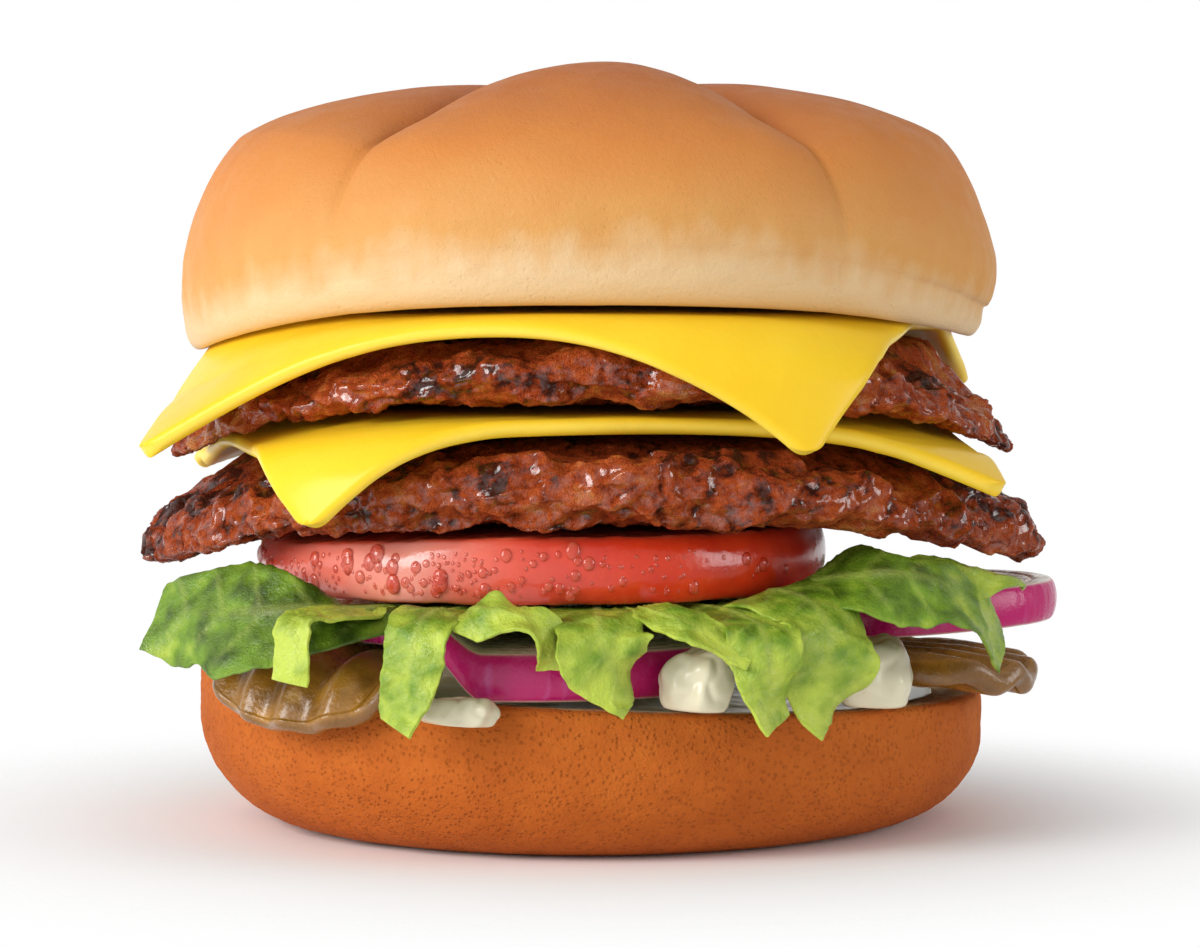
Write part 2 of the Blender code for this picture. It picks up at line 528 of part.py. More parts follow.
def sheet(name, finish_name, across, along, shape, thickness, offset, corner=0.0):
    """A thin piece: a grid moved into shape and thickened by Solidify. corner rounds the grid's corners."""
    bm = bmesh.new()
    bmesh.ops.create_grid(bm, x_segments=across, y_segments=along, size=1.0)
    bmesh.ops.triangulate(bm, faces=bm.faces)
    if corner:
        round_corners(bm, corner)
    made = finish(bm, name, finish_name, shape)
    thick = made.modifiers.new("thickness", "SOLIDIFY")
    thick.thickness = thickness
    thick.offset = offset
    thick.use_even_offset = False
    return made


def round_corners(bm, corner):
    """Pulls the points of a square that lie outside its rounded corners back onto them."""
    inner = 1.0 - corner
    for vert in bm.verts:
        over_x, over_y = abs(vert.co.x) - inner, abs(vert.co.y) - inner
        away = math.hypot(max(over_x, 0.0), max(over_y, 0.0))
        if over_x > 0 and over_y > 0 and away > corner:
            vert.co.x = math.copysign(inner + over_x * corner / away, vert.co.x)
            vert.co.y = math.copysign(inner + over_y * corner / away, vert.co.y)


def core_shape(points):
    """Template to the heap's core: a thin slab between the front onion and the tomato."""
    x = CORE_CENTRE[0] + CORE_RADIUS * points[:, 0]
    y = CORE_CENTRE[1] + CORE_RADIUS * points[:, 1]
    low = np.maximum(CORE_LEVEL, onion_top(x, FRONT_ONION) + 1.5 * GAP)
    return np.stack([x, y, low + (CORE_TOP - low) * (points[:, 2] + 1.0) / 2.0], axis=1)


def fill_shape(points):
    """Template to the heap's body behind the onion, from the mayonnaise up to the tomato's level."""
    x = FILL_CENTRE[0] + FILL_RADIUS[0] * points[:, 0]
    y = FILL_CENTRE[1] + FILL_RADIUS[1] * points[:, 1]
    uneven = 1.0 + 0.05 * lumps(points * 20.0 * MM, 16.0 * MM, 5)
    low = FILL_LEVEL + 0.9 * MM * np.abs(points[:, 0])
    return np.stack([FILL_CENTRE[0] + (x - FILL_CENTRE[0]) * uneven, FILL_CENTRE[1] + (y - FILL_CENTRE[1]) * uneven,
                     low + (CORE_TOP - low) * (points[:, 2] + 1.0) / 2.0], axis=1)


def lettuce_heap():
    """The core, the body behind it and every leaf, joined into one solid by a Boolean union."""
    heap = turned("lettuce", "lettuce", slab_profile((0.0, 0.5), 2, 0.06), 18, core_shape)
    parts = bpy.data.collections.new("lettuce_parts")
    bpy.context.scene.collection.children.link(parts)
    pieces = [turned("heap_body", "lettuce", slab_profile((0.0, 0.5), 3, 0.18), 20, fill_shape)]
    for name, leaf in {**LEAVES, **back_leaves()}.items():
        pieces.append(sheet(name, "lettuce", 9, 4, leaf_shape(leaf), LEAF_THICKNESS, 0.0))
    for piece in pieces:
        bpy.context.scene.collection.objects.unlink(piece)
        parts.objects.link(piece)
    union = heap.modifiers.new("union", "BOOLEAN")
    union.operation = "UNION"
    union.operand_type = "COLLECTION"
    union.collection = parts
    union.solver = "MANIFOLD"
    bpy.context.view_layer.update()
    evaluated = heap.evaluated_get(bpy.context.evaluated_depsgraph_get())
    joined = bpy.data.meshes.new_from_object(evaluated)
    heap.modifiers.clear()
    heap.data = joined
    for piece in pieces:
        bpy.data.objects.remove(piece)
    bpy.data.collections.remove(parts)
    keep_largest(joined)
    return heap


def keep_largest(mesh):
    """Keeps the one connected body with the largest volume, so that slivers go and sealed hollows are filled."""
    bm = bmesh.new()
    bm.from_mesh(mesh)
    bmesh.ops.triangulate(bm, faces=bm.faces)
    left = set(bm.faces)
    bodies = []
    while left:
        body, front = set(), [left.pop()]
        while front:
            face = front.pop()
            body.add(face)
            near = {other for edge in face.edges for other in edge.link_faces} & left
            left -= near
            front.extend(near)
        volume = sum(f.verts[0].co.dot(f.verts[1].co.cross(f.verts[2].co)) for f in body) / 6.0
        bodies.append((volume, body))
    kept = max(bodies, key=lambda pair: pair[0])[1]
    bmesh.ops.delete(bm, geom=[f for f in bm.faces if f not in kept], context="FACES")
    bm.to_mesh(mesh)
    bm.free()


def build():
    """Clears the scene and makes each layer from the bottom up."""
    for old in list(bpy.data.objects):
        bpy.data.objects.remove(old)
    turned("heel", "heel", heel_profile(4, 6), 40, heel_shape)
    for name, spec in DOLLOPS.items():
        turned(name, "mayonnaise", dollop_profile(6), 18, dollop_shape(spec))
    turned("gherkin_left", "gherkin", slab_profile((0.0, 0.27, 0.5, 0.72), 3, 0.1), 24,
           gherkin_shape(LEFT_GHERKIN))
    turned("gherkin_right", "gherkin", slab_profile((0.0, 0.3, 0.6), 3, 0.1), 24,
           gherkin_shape(RIGHT_GHERKIN))
    turned("onion_front", "onion", slab_profile((0.0, 0.4, 0.7), 4, 0.05), 26, onion_shape(FRONT_ONION))
    turned("onion_side", "onion", slab_profile((0.0, 0.5), 4, 0.05), 26, onion_shape(SIDE_ONION))
    lettuce_heap()
    turned("tomato", "tomato", slab_profile((0.0, 0.4, 0.75), 4, 0.05), 32, tomato_shape)
    patty_rings = (0.0, 0.3, 0.55, 0.70, 0.79)
    for name, level, spec in (("patty_lower", LOWER_PATTY_LEVEL, LOWER_PATTY),
                              ("patty_upper", UPPER_PATTY_LEVEL, UPPER_PATTY)):
        edge = spec["edge"] / spec["radius"][0]
        turned(name, "patty", slab_profile(patty_rings, 5, edge), 40, patty_shape(level, spec))
    corner = 2.0 * CHEESE_CORNER / CHEESE_SIDE
    for name, level, spec, patty in (("cheese_lower", LOWER_CHEESE_LEVEL, LOWER_CHEESE, LOWER_PATTY),
                                     ("cheese_upper", UPPER_CHEESE_LEVEL, UPPER_CHEESE, UPPER_PATTY)):
        sheet(name, "cheese", 13, 13, cheese_shape(level, spec, patty), CHEESE_THICKNESS, 1.0, corner)
    turned("crown", "crown", crown_profile((0.0, 0.3, 0.6, 0.80, 0.87), 3, 9), 40, crown_shape)


build()
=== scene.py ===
"""Double cheeseburger: fine surfaces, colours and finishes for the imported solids. Metres, +Z up, front to -Y."""

import math

import bpy
import numpy as np
from bpy.props import FloatProperty, FloatVectorProperty, IntProperty, PointerProperty
from bpy.types import Operator, Panel, PropertyGroup
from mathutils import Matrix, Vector


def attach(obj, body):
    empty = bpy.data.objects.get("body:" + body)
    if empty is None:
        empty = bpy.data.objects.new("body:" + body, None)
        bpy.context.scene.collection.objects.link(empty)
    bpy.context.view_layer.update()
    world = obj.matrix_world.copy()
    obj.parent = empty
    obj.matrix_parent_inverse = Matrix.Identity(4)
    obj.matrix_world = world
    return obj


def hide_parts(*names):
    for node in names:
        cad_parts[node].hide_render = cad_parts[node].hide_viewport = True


bl_info = {
    "name": "Double cheeseburger",
    "version": (1, 0, 0),
    "blender": (4, 5, 0),
    "location": "3D View > Sidebar > Burger",
    "description": "Makes the bun, patties, cheese, salad and sauce of a double cheeseburger",
    "category": "Add Mesh",
}

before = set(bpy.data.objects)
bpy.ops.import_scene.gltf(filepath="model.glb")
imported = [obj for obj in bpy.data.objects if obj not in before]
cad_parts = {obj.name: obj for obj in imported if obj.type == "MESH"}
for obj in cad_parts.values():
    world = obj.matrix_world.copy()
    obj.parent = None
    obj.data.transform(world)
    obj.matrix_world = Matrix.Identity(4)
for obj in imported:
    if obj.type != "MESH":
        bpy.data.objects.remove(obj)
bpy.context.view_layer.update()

MM = 0.001
GAP = 0.4 * MM

# The heel is the lower half of the bun. Its cut face leans down towards +X.
HEEL_RADIUS = 50.6 * MM
HEEL_FOOT_RADIUS = 36.9 * MM
HEEL_HEIGHT = 19.0 * MM
HEEL_LEAN = 0.045
HEEL_DISH = 1.2 * MM

# Levels of the layers at the middle of the stack.
ONION_LEVEL = 19.8 * MM
TOMATO_LEVEL = 31.2 * MM
LOWER_PATTY_LEVEL = 40.9 * MM
LOWER_CHEESE_LEVEL = 52.45 * MM
UPPER_PATTY_LEVEL = 55.0 * MM
UPPER_CHEESE_LEVEL = 64.65 * MM
CROWN_LEVEL = 67.7 * MM

# The layers above the tomato are arched: they fall away a little from the middle.
ARCH_X = 1.5 * MM
ARCH_Y = 0.8 * MM
ARCH_SPAN = 42.0 * MM

LOWER_PATTY = dict(radius=(60.5 * MM, 56.5 * MM), thickness=10.4 * MM, edge=5.0 * MM, sag_from=42.0 * MM,
                   sag_left=8.5 * MM, sag_right=7.6 * MM, sag_back=4.0 * MM, thinning=0.10, seed=3)
UPPER_PATTY = dict(radius=(56.0 * MM, 54.0 * MM), thickness=8.9 * MM, edge=4.5 * MM, sag_from=45.0 * MM,
                   sag_left=10.0 * MM, sag_right=8.2 * MM, sag_back=3.5 * MM, thinning=0.14, seed=8)
PATTY_UNEVENNESS = 0.022
PATTY_CRAG = 1.5 * MM
PATTY_CRAG_SIZE = 9.0 * MM

# A cheese slice is a square sheet. hang lists bearings and how far the slice bends down at each, in degrees.
CHEESE_SIDE = 89.0 * MM
CHEESE_THICKNESS = 2.1 * MM
CHEESE_CORNER = 4.0 * MM
CHEESE_BEND = 7.0 * MM
CHEESE_SAG_REACH = 54.0 * MM
LOWER_CHEESE = dict(middle=(-1.6 * MM, -4.6 * MM), turn=12.0,
                    hang=((-35.0, 30.0), (-122.0, 80.0), (150.0, 40.0), (60.0, 45.0)))
UPPER_CHEESE = dict(middle=(-2.7 * MM, -7.4 * MM), turn=-14.0,
                    hang=((-62.0, 76.0), (-146.0, 36.0), (120.0, 40.0), (32.0, 40.0)))

# The crown is the upper half of the bun, with five lobes between creases that run from the middle to the side.
CROWN_RADIUS = 53.0 * MM
CROWN_RIM_RADIUS = 49.5 * MM
CROWN_RIM_HEIGHT = 7.5 * MM
CROWN_TOP = 94.9 * MM
CROWN_FULLNESS = 2.6
CROWN_LOBES = 5
CREASE_DEPTH = 5.0 * MM
CREASE_NOTCH = 0.04
CROWN_TUCK = 0.042
CROWN_SAG_FROM = 45.0 * MM
CROWN_SAG_LEFT = 8.0 * MM
CROWN_SAG_RIGHT = 8.0 * MM
CROWN_SAG_BACK = 2.4 * MM

TOMATO_CENTRE = (-6.0 * MM, -14.5 * MM)
TOMATO_RADIUS = 35.8 * MM
TOMATO_THICKNESS = 9.2 * MM

# The front slice climbs onto the gherkin at its left, between the two places in climb, and is thinner there.
FRONT_ONION = dict(centre=(-7.0 * MM, -24.5 * MM), radius=26.0 * MM, level=ONION_LEVEL,
                   climb=(-12.5 * MM, -19.8 * MM), climb_height=6.2 * MM, thickness=(5.8 * MM, 3.7 * MM))
SIDE_ONION = dict(centre=(40.0 * MM, -8.0 * MM), radius=19.6 * MM, level=24.6 * MM,
                  climb=(20.0 * MM, 60.0 * MM), climb_height=1.8 * MM, thickness=(5.3 * MM, 5.1 * MM))

LEFT_GHERKIN = dict(centre=(-31.2 * MM, -34.6 * MM), radius=(15.5 * MM, 10.8 * MM), level=21.0 * MM, hang=70.0,
                    turn=-42.0)
RIGHT_GHERKIN = dict(centre=(42.5 * MM, -13.0 * MM), radius=(14.6 * MM, 14.2 * MM), level=18.9 * MM, hang=6.0,
                     turn=75.0)
GHERKIN_THICKNESS = 3.2 * MM
GHERKIN_RIPPLE = 0.65 * MM
GHERKIN_RIPPLE_LENGTH = 6.5 * MM
GHERKIN_BEND_AT = 48.0 * MM
GHERKIN_BEND = 4.5 * MM

# The mayonnaise lies at the heel's rim in three dollops: where each sits, its radii along and into the rim, its
# height, and how far it has slipped down past the rim.
DOLLOPS = {
    "mayonnaise_left": dict(centre=(-15.4 * MM, -51.6 * MM), radius=(5.0 * MM, 2.3 * MM),
                            height=3.6 * MM, drop=2.7 * MM),
    "mayonnaise_middle": dict(centre=(12.8 * MM, -48.4 * MM), radius=(4.6 * MM, 4.3 * MM),
                              height=8.0 * MM, drop=0.0),
    "mayonnaise_right": dict(centre=(34.4 * MM, -35.2 * MM), radius=(5.0 * MM, 4.2 * MM),
                             height=8.8 * MM, drop=0.0),
}

# The lettuce is one heap: a core between the onion and the tomato, and leaves that hang over the side. A leaf has a
# route of four points in millimetres, its widths along it, and how deep and how often its edge waves.
LEAF_THICKNESS = 0.9 * MM
LEAVES = {
    "left_leaf": dict(route=((-6, -30, 29.6), (-28, -45, 30.4), (-42, -42, 29.6), (-52.5, -33, 29.0)),
                      widths=(6, 11, 19, 13), ruffle=1.3, waves=2.0, tilt=20, phase=0.4),
    "left_tab": dict(route=((-8, -30, 29.6), (-29, -47, 30.3), (-34.5, -53.5, 29.0), (-35.0, -54.5, 22.6)),
                     widths=(4, 5, 6.5, 5.5), ruffle=0.6, waves=1.5, tilt=0, phase=1.3),
    "front_drop": dict(route=((-6, -30, 29.6), (-18, -52, 30.6), (-20.5, -56.5, 25.5), (-22.5, -55.6, 17.4)),
                       widths=(6, 9.5, 10, 6.5), ruffle=0.9, waves=2.0, tilt=0, phase=2.0),
    "front_curl": dict(route=((-4, -32, 29.6), (-14, -51, 30.4), (-9, -57, 30.5), (-3.5, -54.5, 24.5)),
                       widths=(5, 7, 6.5, 6), ruffle=1.7, waves=2.6, tilt=0, phase=0.2),
    "front_frill": dict(route=((0, -31, 29.6), (1, -51, 30.6), (1.5, -57, 27.0), (4.5, -55.6, 20.0)),
                        widths=(8, 12, 13, 5.5), ruffle=1.5, waves=2.3, tilt=0, phase=3.6),
    "front_strip": dict(route=((2, -32, 29.6), (6, -51, 31.0), (12, -56, 29.2), (19, -56, 25.6)),
                        widths=(4, 5, 6, 5), ruffle=0.7, waves=1.6, tilt=0, phase=5.0),
    "right_drop": dict(route=((4, -30, 29.6), (18, -50, 30.0), (20.5, -56, 25.5), (21.5, -55, 17.6)),
                       widths=(6, 8, 10.5, 5.5), ruffle=1.3, waves=1.9, tilt=0, phase=1.1),
    "right_frill": dict(route=((5, -28, 29.6), (23.5, -44, 32.2), (28, -51, 26.5), (27.6, -49.8, 17.4)),
                        widths=(7, 14, 15, 7), ruffle=1.7, waves=2.4, tilt=0, phase=2.7),
    "right_leaf": dict(route=((6, -27, 29.6), (28, -40, 33.5), (41, -42, 33.2), (50, -34, 24.6)),
                       widths=(7, 11, 15, 8), ruffle=1.2, waves=2.3, tilt=-15, phase=0.9),
    "right_tuft": dict(route=((8, -24, 29.6), (28, -36, 31.5), (44, -35, 33.8), (52, -29, 33.6)),
                       widths=(5, 7, 8, 6), ruffle=1.0, waves=2.6, tilt=-10, phase=4.1),
}
# Round the back the same kinds of leaf follow one another: their bearings in degrees, from +X anticlockwise.
BACK_BEARINGS = (38, 63, 88, 112, 136, 159)
BACK_LEAF = dict(root=18.0, shoulder=38.0, reach=53.5, root_level=28.6, out_level=29.8, width=17.0, ruffle=1.7,
                 waves=2.5)
BACK_SEED = 21
CORE_LEVEL = 28.4 * MM
CORE_TOP = 30.8 * MM
CORE_RADIUS = 19.5 * MM
CORE_CENTRE = (0.0 * MM, -13.0 * MM)
FILL_LEVEL = 20.6 * MM
FILL_CENTRE = (-9.0 * MM, 23.5 * MM)
FILL_RADIUS = (30.0 * MM, 20.0 * MM)
LEAF_CLEARANCE = 0.95 * MM
LEAF_SLOPE = 1.3

# How light each leaf in view is: 0 is the deep green, in painted shade, of a leaf's root by the heap, and 1 the pale
# green of its end.
LEAF_TONES = {"left_leaf": -0.15, "left_tab": 1.0, "front_drop": 0.50, "front_curl": 0.80, "front_frill": 0.60,
              "front_strip": 0.75, "right_drop": 0.60, "right_frill": 0.50, "right_leaf": 0.10, "right_tuft": 0.45}
BACK_LEAF_TONE = 0.35

# How wide the rounded borders of a leaf's sheet are, as shares of its half length and half width.
LEAF_END = 0.012
LEAF_SIDE = 0.05

# The heap's core and body are drawn in a little under the leaves: their radii and their heights.
HEAP_DRAW_IN = (0.96, 0.97)

# The ruffled layers on the heap's body: their levels, how far each reaches as a share of the body, and how much less
# than that the next one up does.
LAYER_LEVELS = (22.4 * MM, 24.6 * MM, 26.8 * MM, 29.0 * MM)
LAYER_REACH = 1.03
LAYER_STEP = 0.02

# Fields of soft grain: the size of their largest lumps, their seed and their number of layers.
GRAINS = {
    "crown_streaks": (2.6 * MM, 41, 3),
    "crown_drift": (17.0 * MM, 43, 2),
    "crown_folds": (2.4 * MM, 47, 3),
    "heel_drift": (12.0 * MM, 61, 3),
    "heel_grit": (1.6 * MM, 67, 2),
    "tomato_flesh": (5.0 * MM, 91, 3),
    "tomato_wall": (9.0 * MM, 93, 2),
    "onion_wander": (14.0 * MM, 101, 2),
    "onion_lines": (1.3 * MM, 103, 2),
    "smear_outline": (11.0 * MM, 111, 3),
    "smear_thickness": (5.0 * MM, 113, 3),
}

# How high or deep the fine relief is where no setting in the panel says so.
RELIEF = {
    "crown_dents": 0.25 * MM,
    "crown_crumb": 0.25 * MM,
    "heel_dents": 0.22 * MM,
    "heel_crumb": 0.30 * MM,
    "mince_grit": 0.14 * MM,
    "tomato_flesh": 0.25 * MM,
    "tomato_skin": 0.10 * MM,
    "onion_seams": 0.28 * MM,
    "onion_lines": 0.05 * MM,
    "gherkin_warts": 0.18 * MM,
    "gherkin_seeds": 0.12 * MM,
    "mayonnaise_folds": 0.36 * MM,
    "layer_waves": 1.5 * MM,
}

# Seeds of the pieces that are made several times over. Where a step is named, the next piece's seed is that much
# more, and otherwise it is one more.
CHEESE_SEEDS = {"cheese_lower": 81, "cheese_upper": 83}
GHERKIN_SEED = 121
GHERKIN_SEED_STEP = 10
DOLLOP_SEED = 131
LEAF_SEED = 200
LEAF_SEED_STEP = 11
LAYER_SEED = 300
DROPS_SEED = 7

# The crown's crust is palest where it starts over the cut face, and brown once it is BAKE_RANGE higher.
BAKE_START = 2.0 * MM
BAKE_RANGE = 26.0 * MM

# The fine patty is drawn in a little, so that its relief stays inside the solid's own box.
PATTY_DRAW_IN = (0.991, 0.991, 1.0)

# The smear of mayonnaise on the cut face: how far it reaches and how thick it is.
SMEAR_REACH = 44.0 * MM
SMEAR_WANDER = 2.4 * MM
SMEAR_THICKNESS = (0.08 * MM, 0.34 * MM)

# A painted highlight makes the tomato's skin pale round this bearing, over this spread.
GLARE_BEARING = math.radians(-122.0)
GLARE_SPREAD = math.radians(24.0)

# A water drop's outline, from its foot in the skin to its crown, for a drop of radius 1.
DROP_PROFILE = ((0.0, -0.35), (0.8, -0.3), (1.0, 0.0), (0.93, 0.35), (0.72, 0.62), (0.38, 0.8), (0.0, 0.86))
DROP_RADIUS = 0.22 * MM
DROP_RADIUS_SPREAD = 0.85 * MM
DROP_FLATNESS = 0.62

# Random fields look their values up in tables of this many entries. The shift keeps every lattice cell positive.
LATTICE_SIZE = 4096
LATTICE_SHIFT = 512.37

# The stage: the lights' places and widths, what they face, how far the floor reaches, and the distances between which
# it thins out. The walls dim upwards and to the right: where that starts, where it ends, and the share that is left.
KEY_PLACE, KEY_WIDTH = (-0.86, -0.62, 0.44), 0.60
FILL_PLACE, FILL_WIDTH = (0.95, -0.22, 0.26), 0.50
LIGHT_TARGET = (0.0, 0.0, 0.05)
FLOOR_REACH = 1.0
FLOOR_THINS = (0.044, 0.115)
WALLS_DIM_UP = (0.10, 0.60, 0.55)
WALLS_DIM_RIGHT = (0.25, 0.80, 0.4)

# The camera, fitted to the photograph.
CAMERA_LENS = 120.0
CAMERA_SENSOR = 36.0
CAMERA_DISTANCE = 0.520
CAMERA_ELEVATION = 3.0
CAMERA_TARGET = (1.3 * MM, 0.0, 44.3 * MM)


def ease(low, high, value):
    """0 below low, 1 above high, with a smooth turn between them."""
    t = np.clip((value - low) / (high - low), 0.0, 1.0)
    return t * t * (3.0 - 2.0 * t)


def lumps(points, size, seed, waves=7):
    """Soft lumps from -1 to 1: a mean of plane waves about size long, their directions drawn from the seed."""
    draw = np.random.default_rng(seed)
    total = np.zeros(len(points))
    for _ in range(waves):
        way = draw.normal(size=3)
        way /= np.linalg.norm(way)
        length = size * draw.uniform(0.7, 1.5)
        total += np.cos(2.0 * math.pi * (points @ way / length) + draw.uniform(0.0, 2.0 * math.pi))
    return np.clip(total / math.sqrt(2.0 * waves) * 1.4, -1.0, 1.0)


def arch(x, y):
    """How far the layers above the tomato fall away from the middle: a parabola each way."""
    return ARCH_X * (x / ARCH_SPAN) ** 2 + ARCH_Y * (y / ARCH_SPAN) ** 2


def side_sag(x, y, start, end, left, right, back):
    """The extra fall of an overhanging rim: none inside start, steep at first and eased out to its full depth."""
    r = np.hypot(x, y) + 1e-9
    across = np.abs(x / r) ** 3
    behind = np.clip(y / r, 0.0, 1.0) ** 2
    depth = across * np.where(x < 0, left, right) + behind * back * (1.0 - across)
    return depth * (1.0 - (1.0 - np.clip((r - start) / (end - start), 0.0, 1.0)) ** 1.2)


def heel_top(x, y):
    """The heel's cut face: a plane that leans to +X, dished inside its rim."""
    inside = 1.0 - ease(0.80, 0.97, np.hypot(x, y) / HEEL_RADIUS)
    return HEEL_HEIGHT - HEEL_LEAN * x - HEEL_DISH * inside


def slab_profile(rings, edge_steps, edge):
    """(r, z) of a slab of radius 1 from -1 to 1 high, with rings at the radii named on both faces, and a half-round
    edge that is edge of the radius wide."""
    turns = [-math.pi / 2 + math.pi * i / edge_steps for i in range(edge_steps + 1)]
    rim = [(1.0 - edge + edge * math.cos(a), math.sin(a)) for a in turns]
    return [(r, -1.0) for r in rings] + rim + [(r, 1.0) for r in reversed(rings)]


def heel_shape(points):
    """Template to heel: z from -1 to 1 runs from the underside to the cut face, and the wall swells and tapers."""
    r = np.hypot(points[:, 0], points[:, 1])
    angle = np.arctan2(points[:, 1], points[:, 0])
    up = (points[:, 2] + 1.0) / 2.0
    swell = (1.0 - (1.0 - np.clip(up / 0.62, 0.0, 1.0)) ** 1.9) ** 0.52
    uneven = 1.0 + 0.006 * np.sin(3.0 * angle + 0.5)
    wide = (HEEL_FOOT_RADIUS + (HEEL_RADIUS - HEEL_FOOT_RADIUS) * swell) * r * uneven
    x, y = wide * np.cos(angle), wide * np.sin(angle)
    return np.stack([x, y, up * heel_top(x, y)], axis=1)


def heel_profile(flat_steps, wall_steps):
    """(r, z) of the heel's template: a flat foot, an upright wall and the cut face with a small round at its rim."""
    foot = [(i / flat_steps, -1.0) for i in range(flat_steps)]
    wall = [(1.0, -1.0 + 1.86 * (i / wall_steps) ** 1.6) for i in range(wall_steps + 1)]
    lip = [(0.994, 0.96), (0.975, 1.0)]
    top = [(0.9 * (1.0 - i / flat_steps), 1.0) for i in range(flat_steps + 1)]
    return foot + wall + lip + top


def patty_outline(angle, spec):
    """The patty's radius by bearing: an ellipse with a few uneven waves."""
    draw = np.random.default_rng(spec["seed"])
    rx, ry = spec["radius"]
    base = 1.0 / np.sqrt((np.cos(angle) / rx) ** 2 + (np.sin(angle) / ry) ** 2)
    wave = sum(np.sin(n * angle + draw.uniform(0.0, 6.28)) / n for n in (3, 5, 8, 13))
    return base * (1.0 + PATTY_UNEVENNESS * (wave - 0.4))


def patty_fall(x, y, spec, face=0.0):
    """How far a patty lies below its level at the middle of the stack. face is -1 at its underside and 1 on top,
    which falls further, so that an overhanging rim is thinner."""
    sag = side_sag(x, y, spec["sag_from"], spec["radius"][0], spec["sag_left"], spec["sag_right"], spec["sag_back"])
    return arch(x, y) + sag * (1.0 + spec["thinning"] * face)


def patty_shape(level, spec):
    """Template to patty: an uneven slab with a rounded rim that sags, its sides broken into crags that go inwards."""
    def shape(points):
        r = np.hypot(points[:, 0], points[:, 1])
        angle = np.arctan2(points[:, 1], points[:, 0])
        wide = r * patty_outline(angle, spec)
        x, y = wide * np.cos(angle), wide * np.sin(angle)
        z = level + spec["thickness"] * (points[:, 2] + 1.0) / 2.0 - patty_fall(x, y, spec, points[:, 2])
        placed = np.stack([x, y, z], axis=1)
        crag = PATTY_CRAG * (lumps(placed, PATTY_CRAG_SIZE, spec["seed"]) - 1.0) / 2.0
        crag = crag + PATTY_CRAG * (lumps(placed, PATTY_CRAG_SIZE * 0.45, spec["seed"] + 1) - 1.0) / 4.0
        reach = ease(0.72, 0.9, r)
        outward = np.stack([np.cos(angle), np.sin(angle), 0.8 * points[:, 2]], axis=1)
        return placed + outward * (crag * reach)[:, None]
    return shape


def hang_angle(bearing, hang):
    """The steepest slope of a cheese slice at a bearing: a smooth mix of the slopes named for its corners."""
    weights = [np.exp(4.0 * (np.cos(bearing - math.radians(at)) - 1.0)) for at, _ in hang]
    total = sum(w * math.radians(slope) for w, (_, slope) in zip(weights, hang))
    return total / sum(weights)


def cheese_shape(level, spec, patty):
    """Flat square to draped slice: a point walks its own distance from the middle over the patty, whose rim bends it
    down round an arc of radius CHEESE_BEND, and past that it runs straight at its hang angle."""
    def shape(points):
        turn = math.radians(spec["turn"])
        u, v = points[:, 0] * CHEESE_SIDE / 2.0, points[:, 1] * CHEESE_SIDE / 2.0
        fx = spec["middle"][0] + u * math.cos(turn) - v * math.sin(turn)
        fy = spec["middle"][1] + u * math.sin(turn) + v * math.cos(turn)
        walk, bearing = np.hypot(fx, fy), np.arctan2(fy, fx)
        steepest = hang_angle(bearing, spec["hang"])
        start = patty_outline(bearing, patty) - 4.6 * MM
        bent = np.clip((walk - start) / CHEESE_BEND, 0.0, steepest)
        straight = np.maximum(walk - start - CHEESE_BEND * steepest, 0.0)
        reach = np.minimum(walk, start) + CHEESE_BEND * np.sin(bent) + straight * np.cos(steepest)
        drop = CHEESE_BEND * (1.0 - np.cos(bent)) + straight * np.sin(steepest)
        x, y = reach * np.cos(bearing), reach * np.sin(bearing)
        inner = np.minimum(1.0, CHEESE_SAG_REACH / np.maximum(reach, 1e-6))
        z = level - patty_fall(x * inner, y * inner, patty, 1.0) - drop
        return np.stack([x, y, z], axis=1)
    return shape


def crown_shape(points):
    """Template to crown. Template z from -1 to 0 is the cut face and the rounded rim, and from 0 to 1 the dome, where
    r and z lie on a superellipse. The lobes swell between sharp creases, and the rim sags at the sides."""
    r = np.hypot(points[:, 0], points[:, 1])
    angle = np.arctan2(points[:, 1], points[:, 0])
    up = points[:, 2]
    from_front = (angle + math.pi / 2) * CROWN_LOBES / (2.0 * math.pi)
    across = np.abs(2.0 * (from_front - np.round(from_front)))
    valley = 1.0 - np.sqrt(np.clip(1.0 - across ** 3.2, 0.0, 1.0))
    front = np.exp(-(((angle + math.pi / 2 - 0.08 + math.pi) % (2 * math.pi) - math.pi) / 0.60) ** 2)
    notch = CREASE_NOTCH * valley * ease(0.0, 0.5, up)
    tuck = CROWN_TUCK * ease(0.30, -0.15, up) * np.clip(np.cos(angle), 0.25, 1.0)
    wide = r * CROWN_RADIUS * (1.0 - 0.008 * valley - notch - tuck)
    x, y = wide * np.cos(angle), wide * np.sin(angle)
    dome_foot = CROWN_LEVEL + CROWN_RIM_HEIGHT
    rise = (CROWN_TOP - dome_foot) * np.clip(up, 0.0, 1.0) + CROWN_RIM_HEIGHT * np.clip(up, -1.0, 0.0)
    lobe = ease(1.0, 0.70, r) * (0.30 + 0.70 * ease(0.0, 0.42, r)) * (up > 0.0)
    z = dome_foot + rise - CREASE_DEPTH * valley * lobe
    z += (2.6 * MM * front - 1.4 * MM * ease(0.45, 0.0, r)) * (up > 0.0) * ease(0.95, 0.5, r)
    low = 1.0 - ease(0.0, 1.0, np.clip(up, 0.0, 1.0)) * 0.93
    sag = side_sag(x, y, CROWN_SAG_FROM, CROWN_RADIUS, CROWN_SAG_LEFT, CROWN_SAG_RIGHT, CROWN_SAG_BACK)
    z -= low * (sag + arch(x, y))
    return np.stack([x, y, z], axis=1)


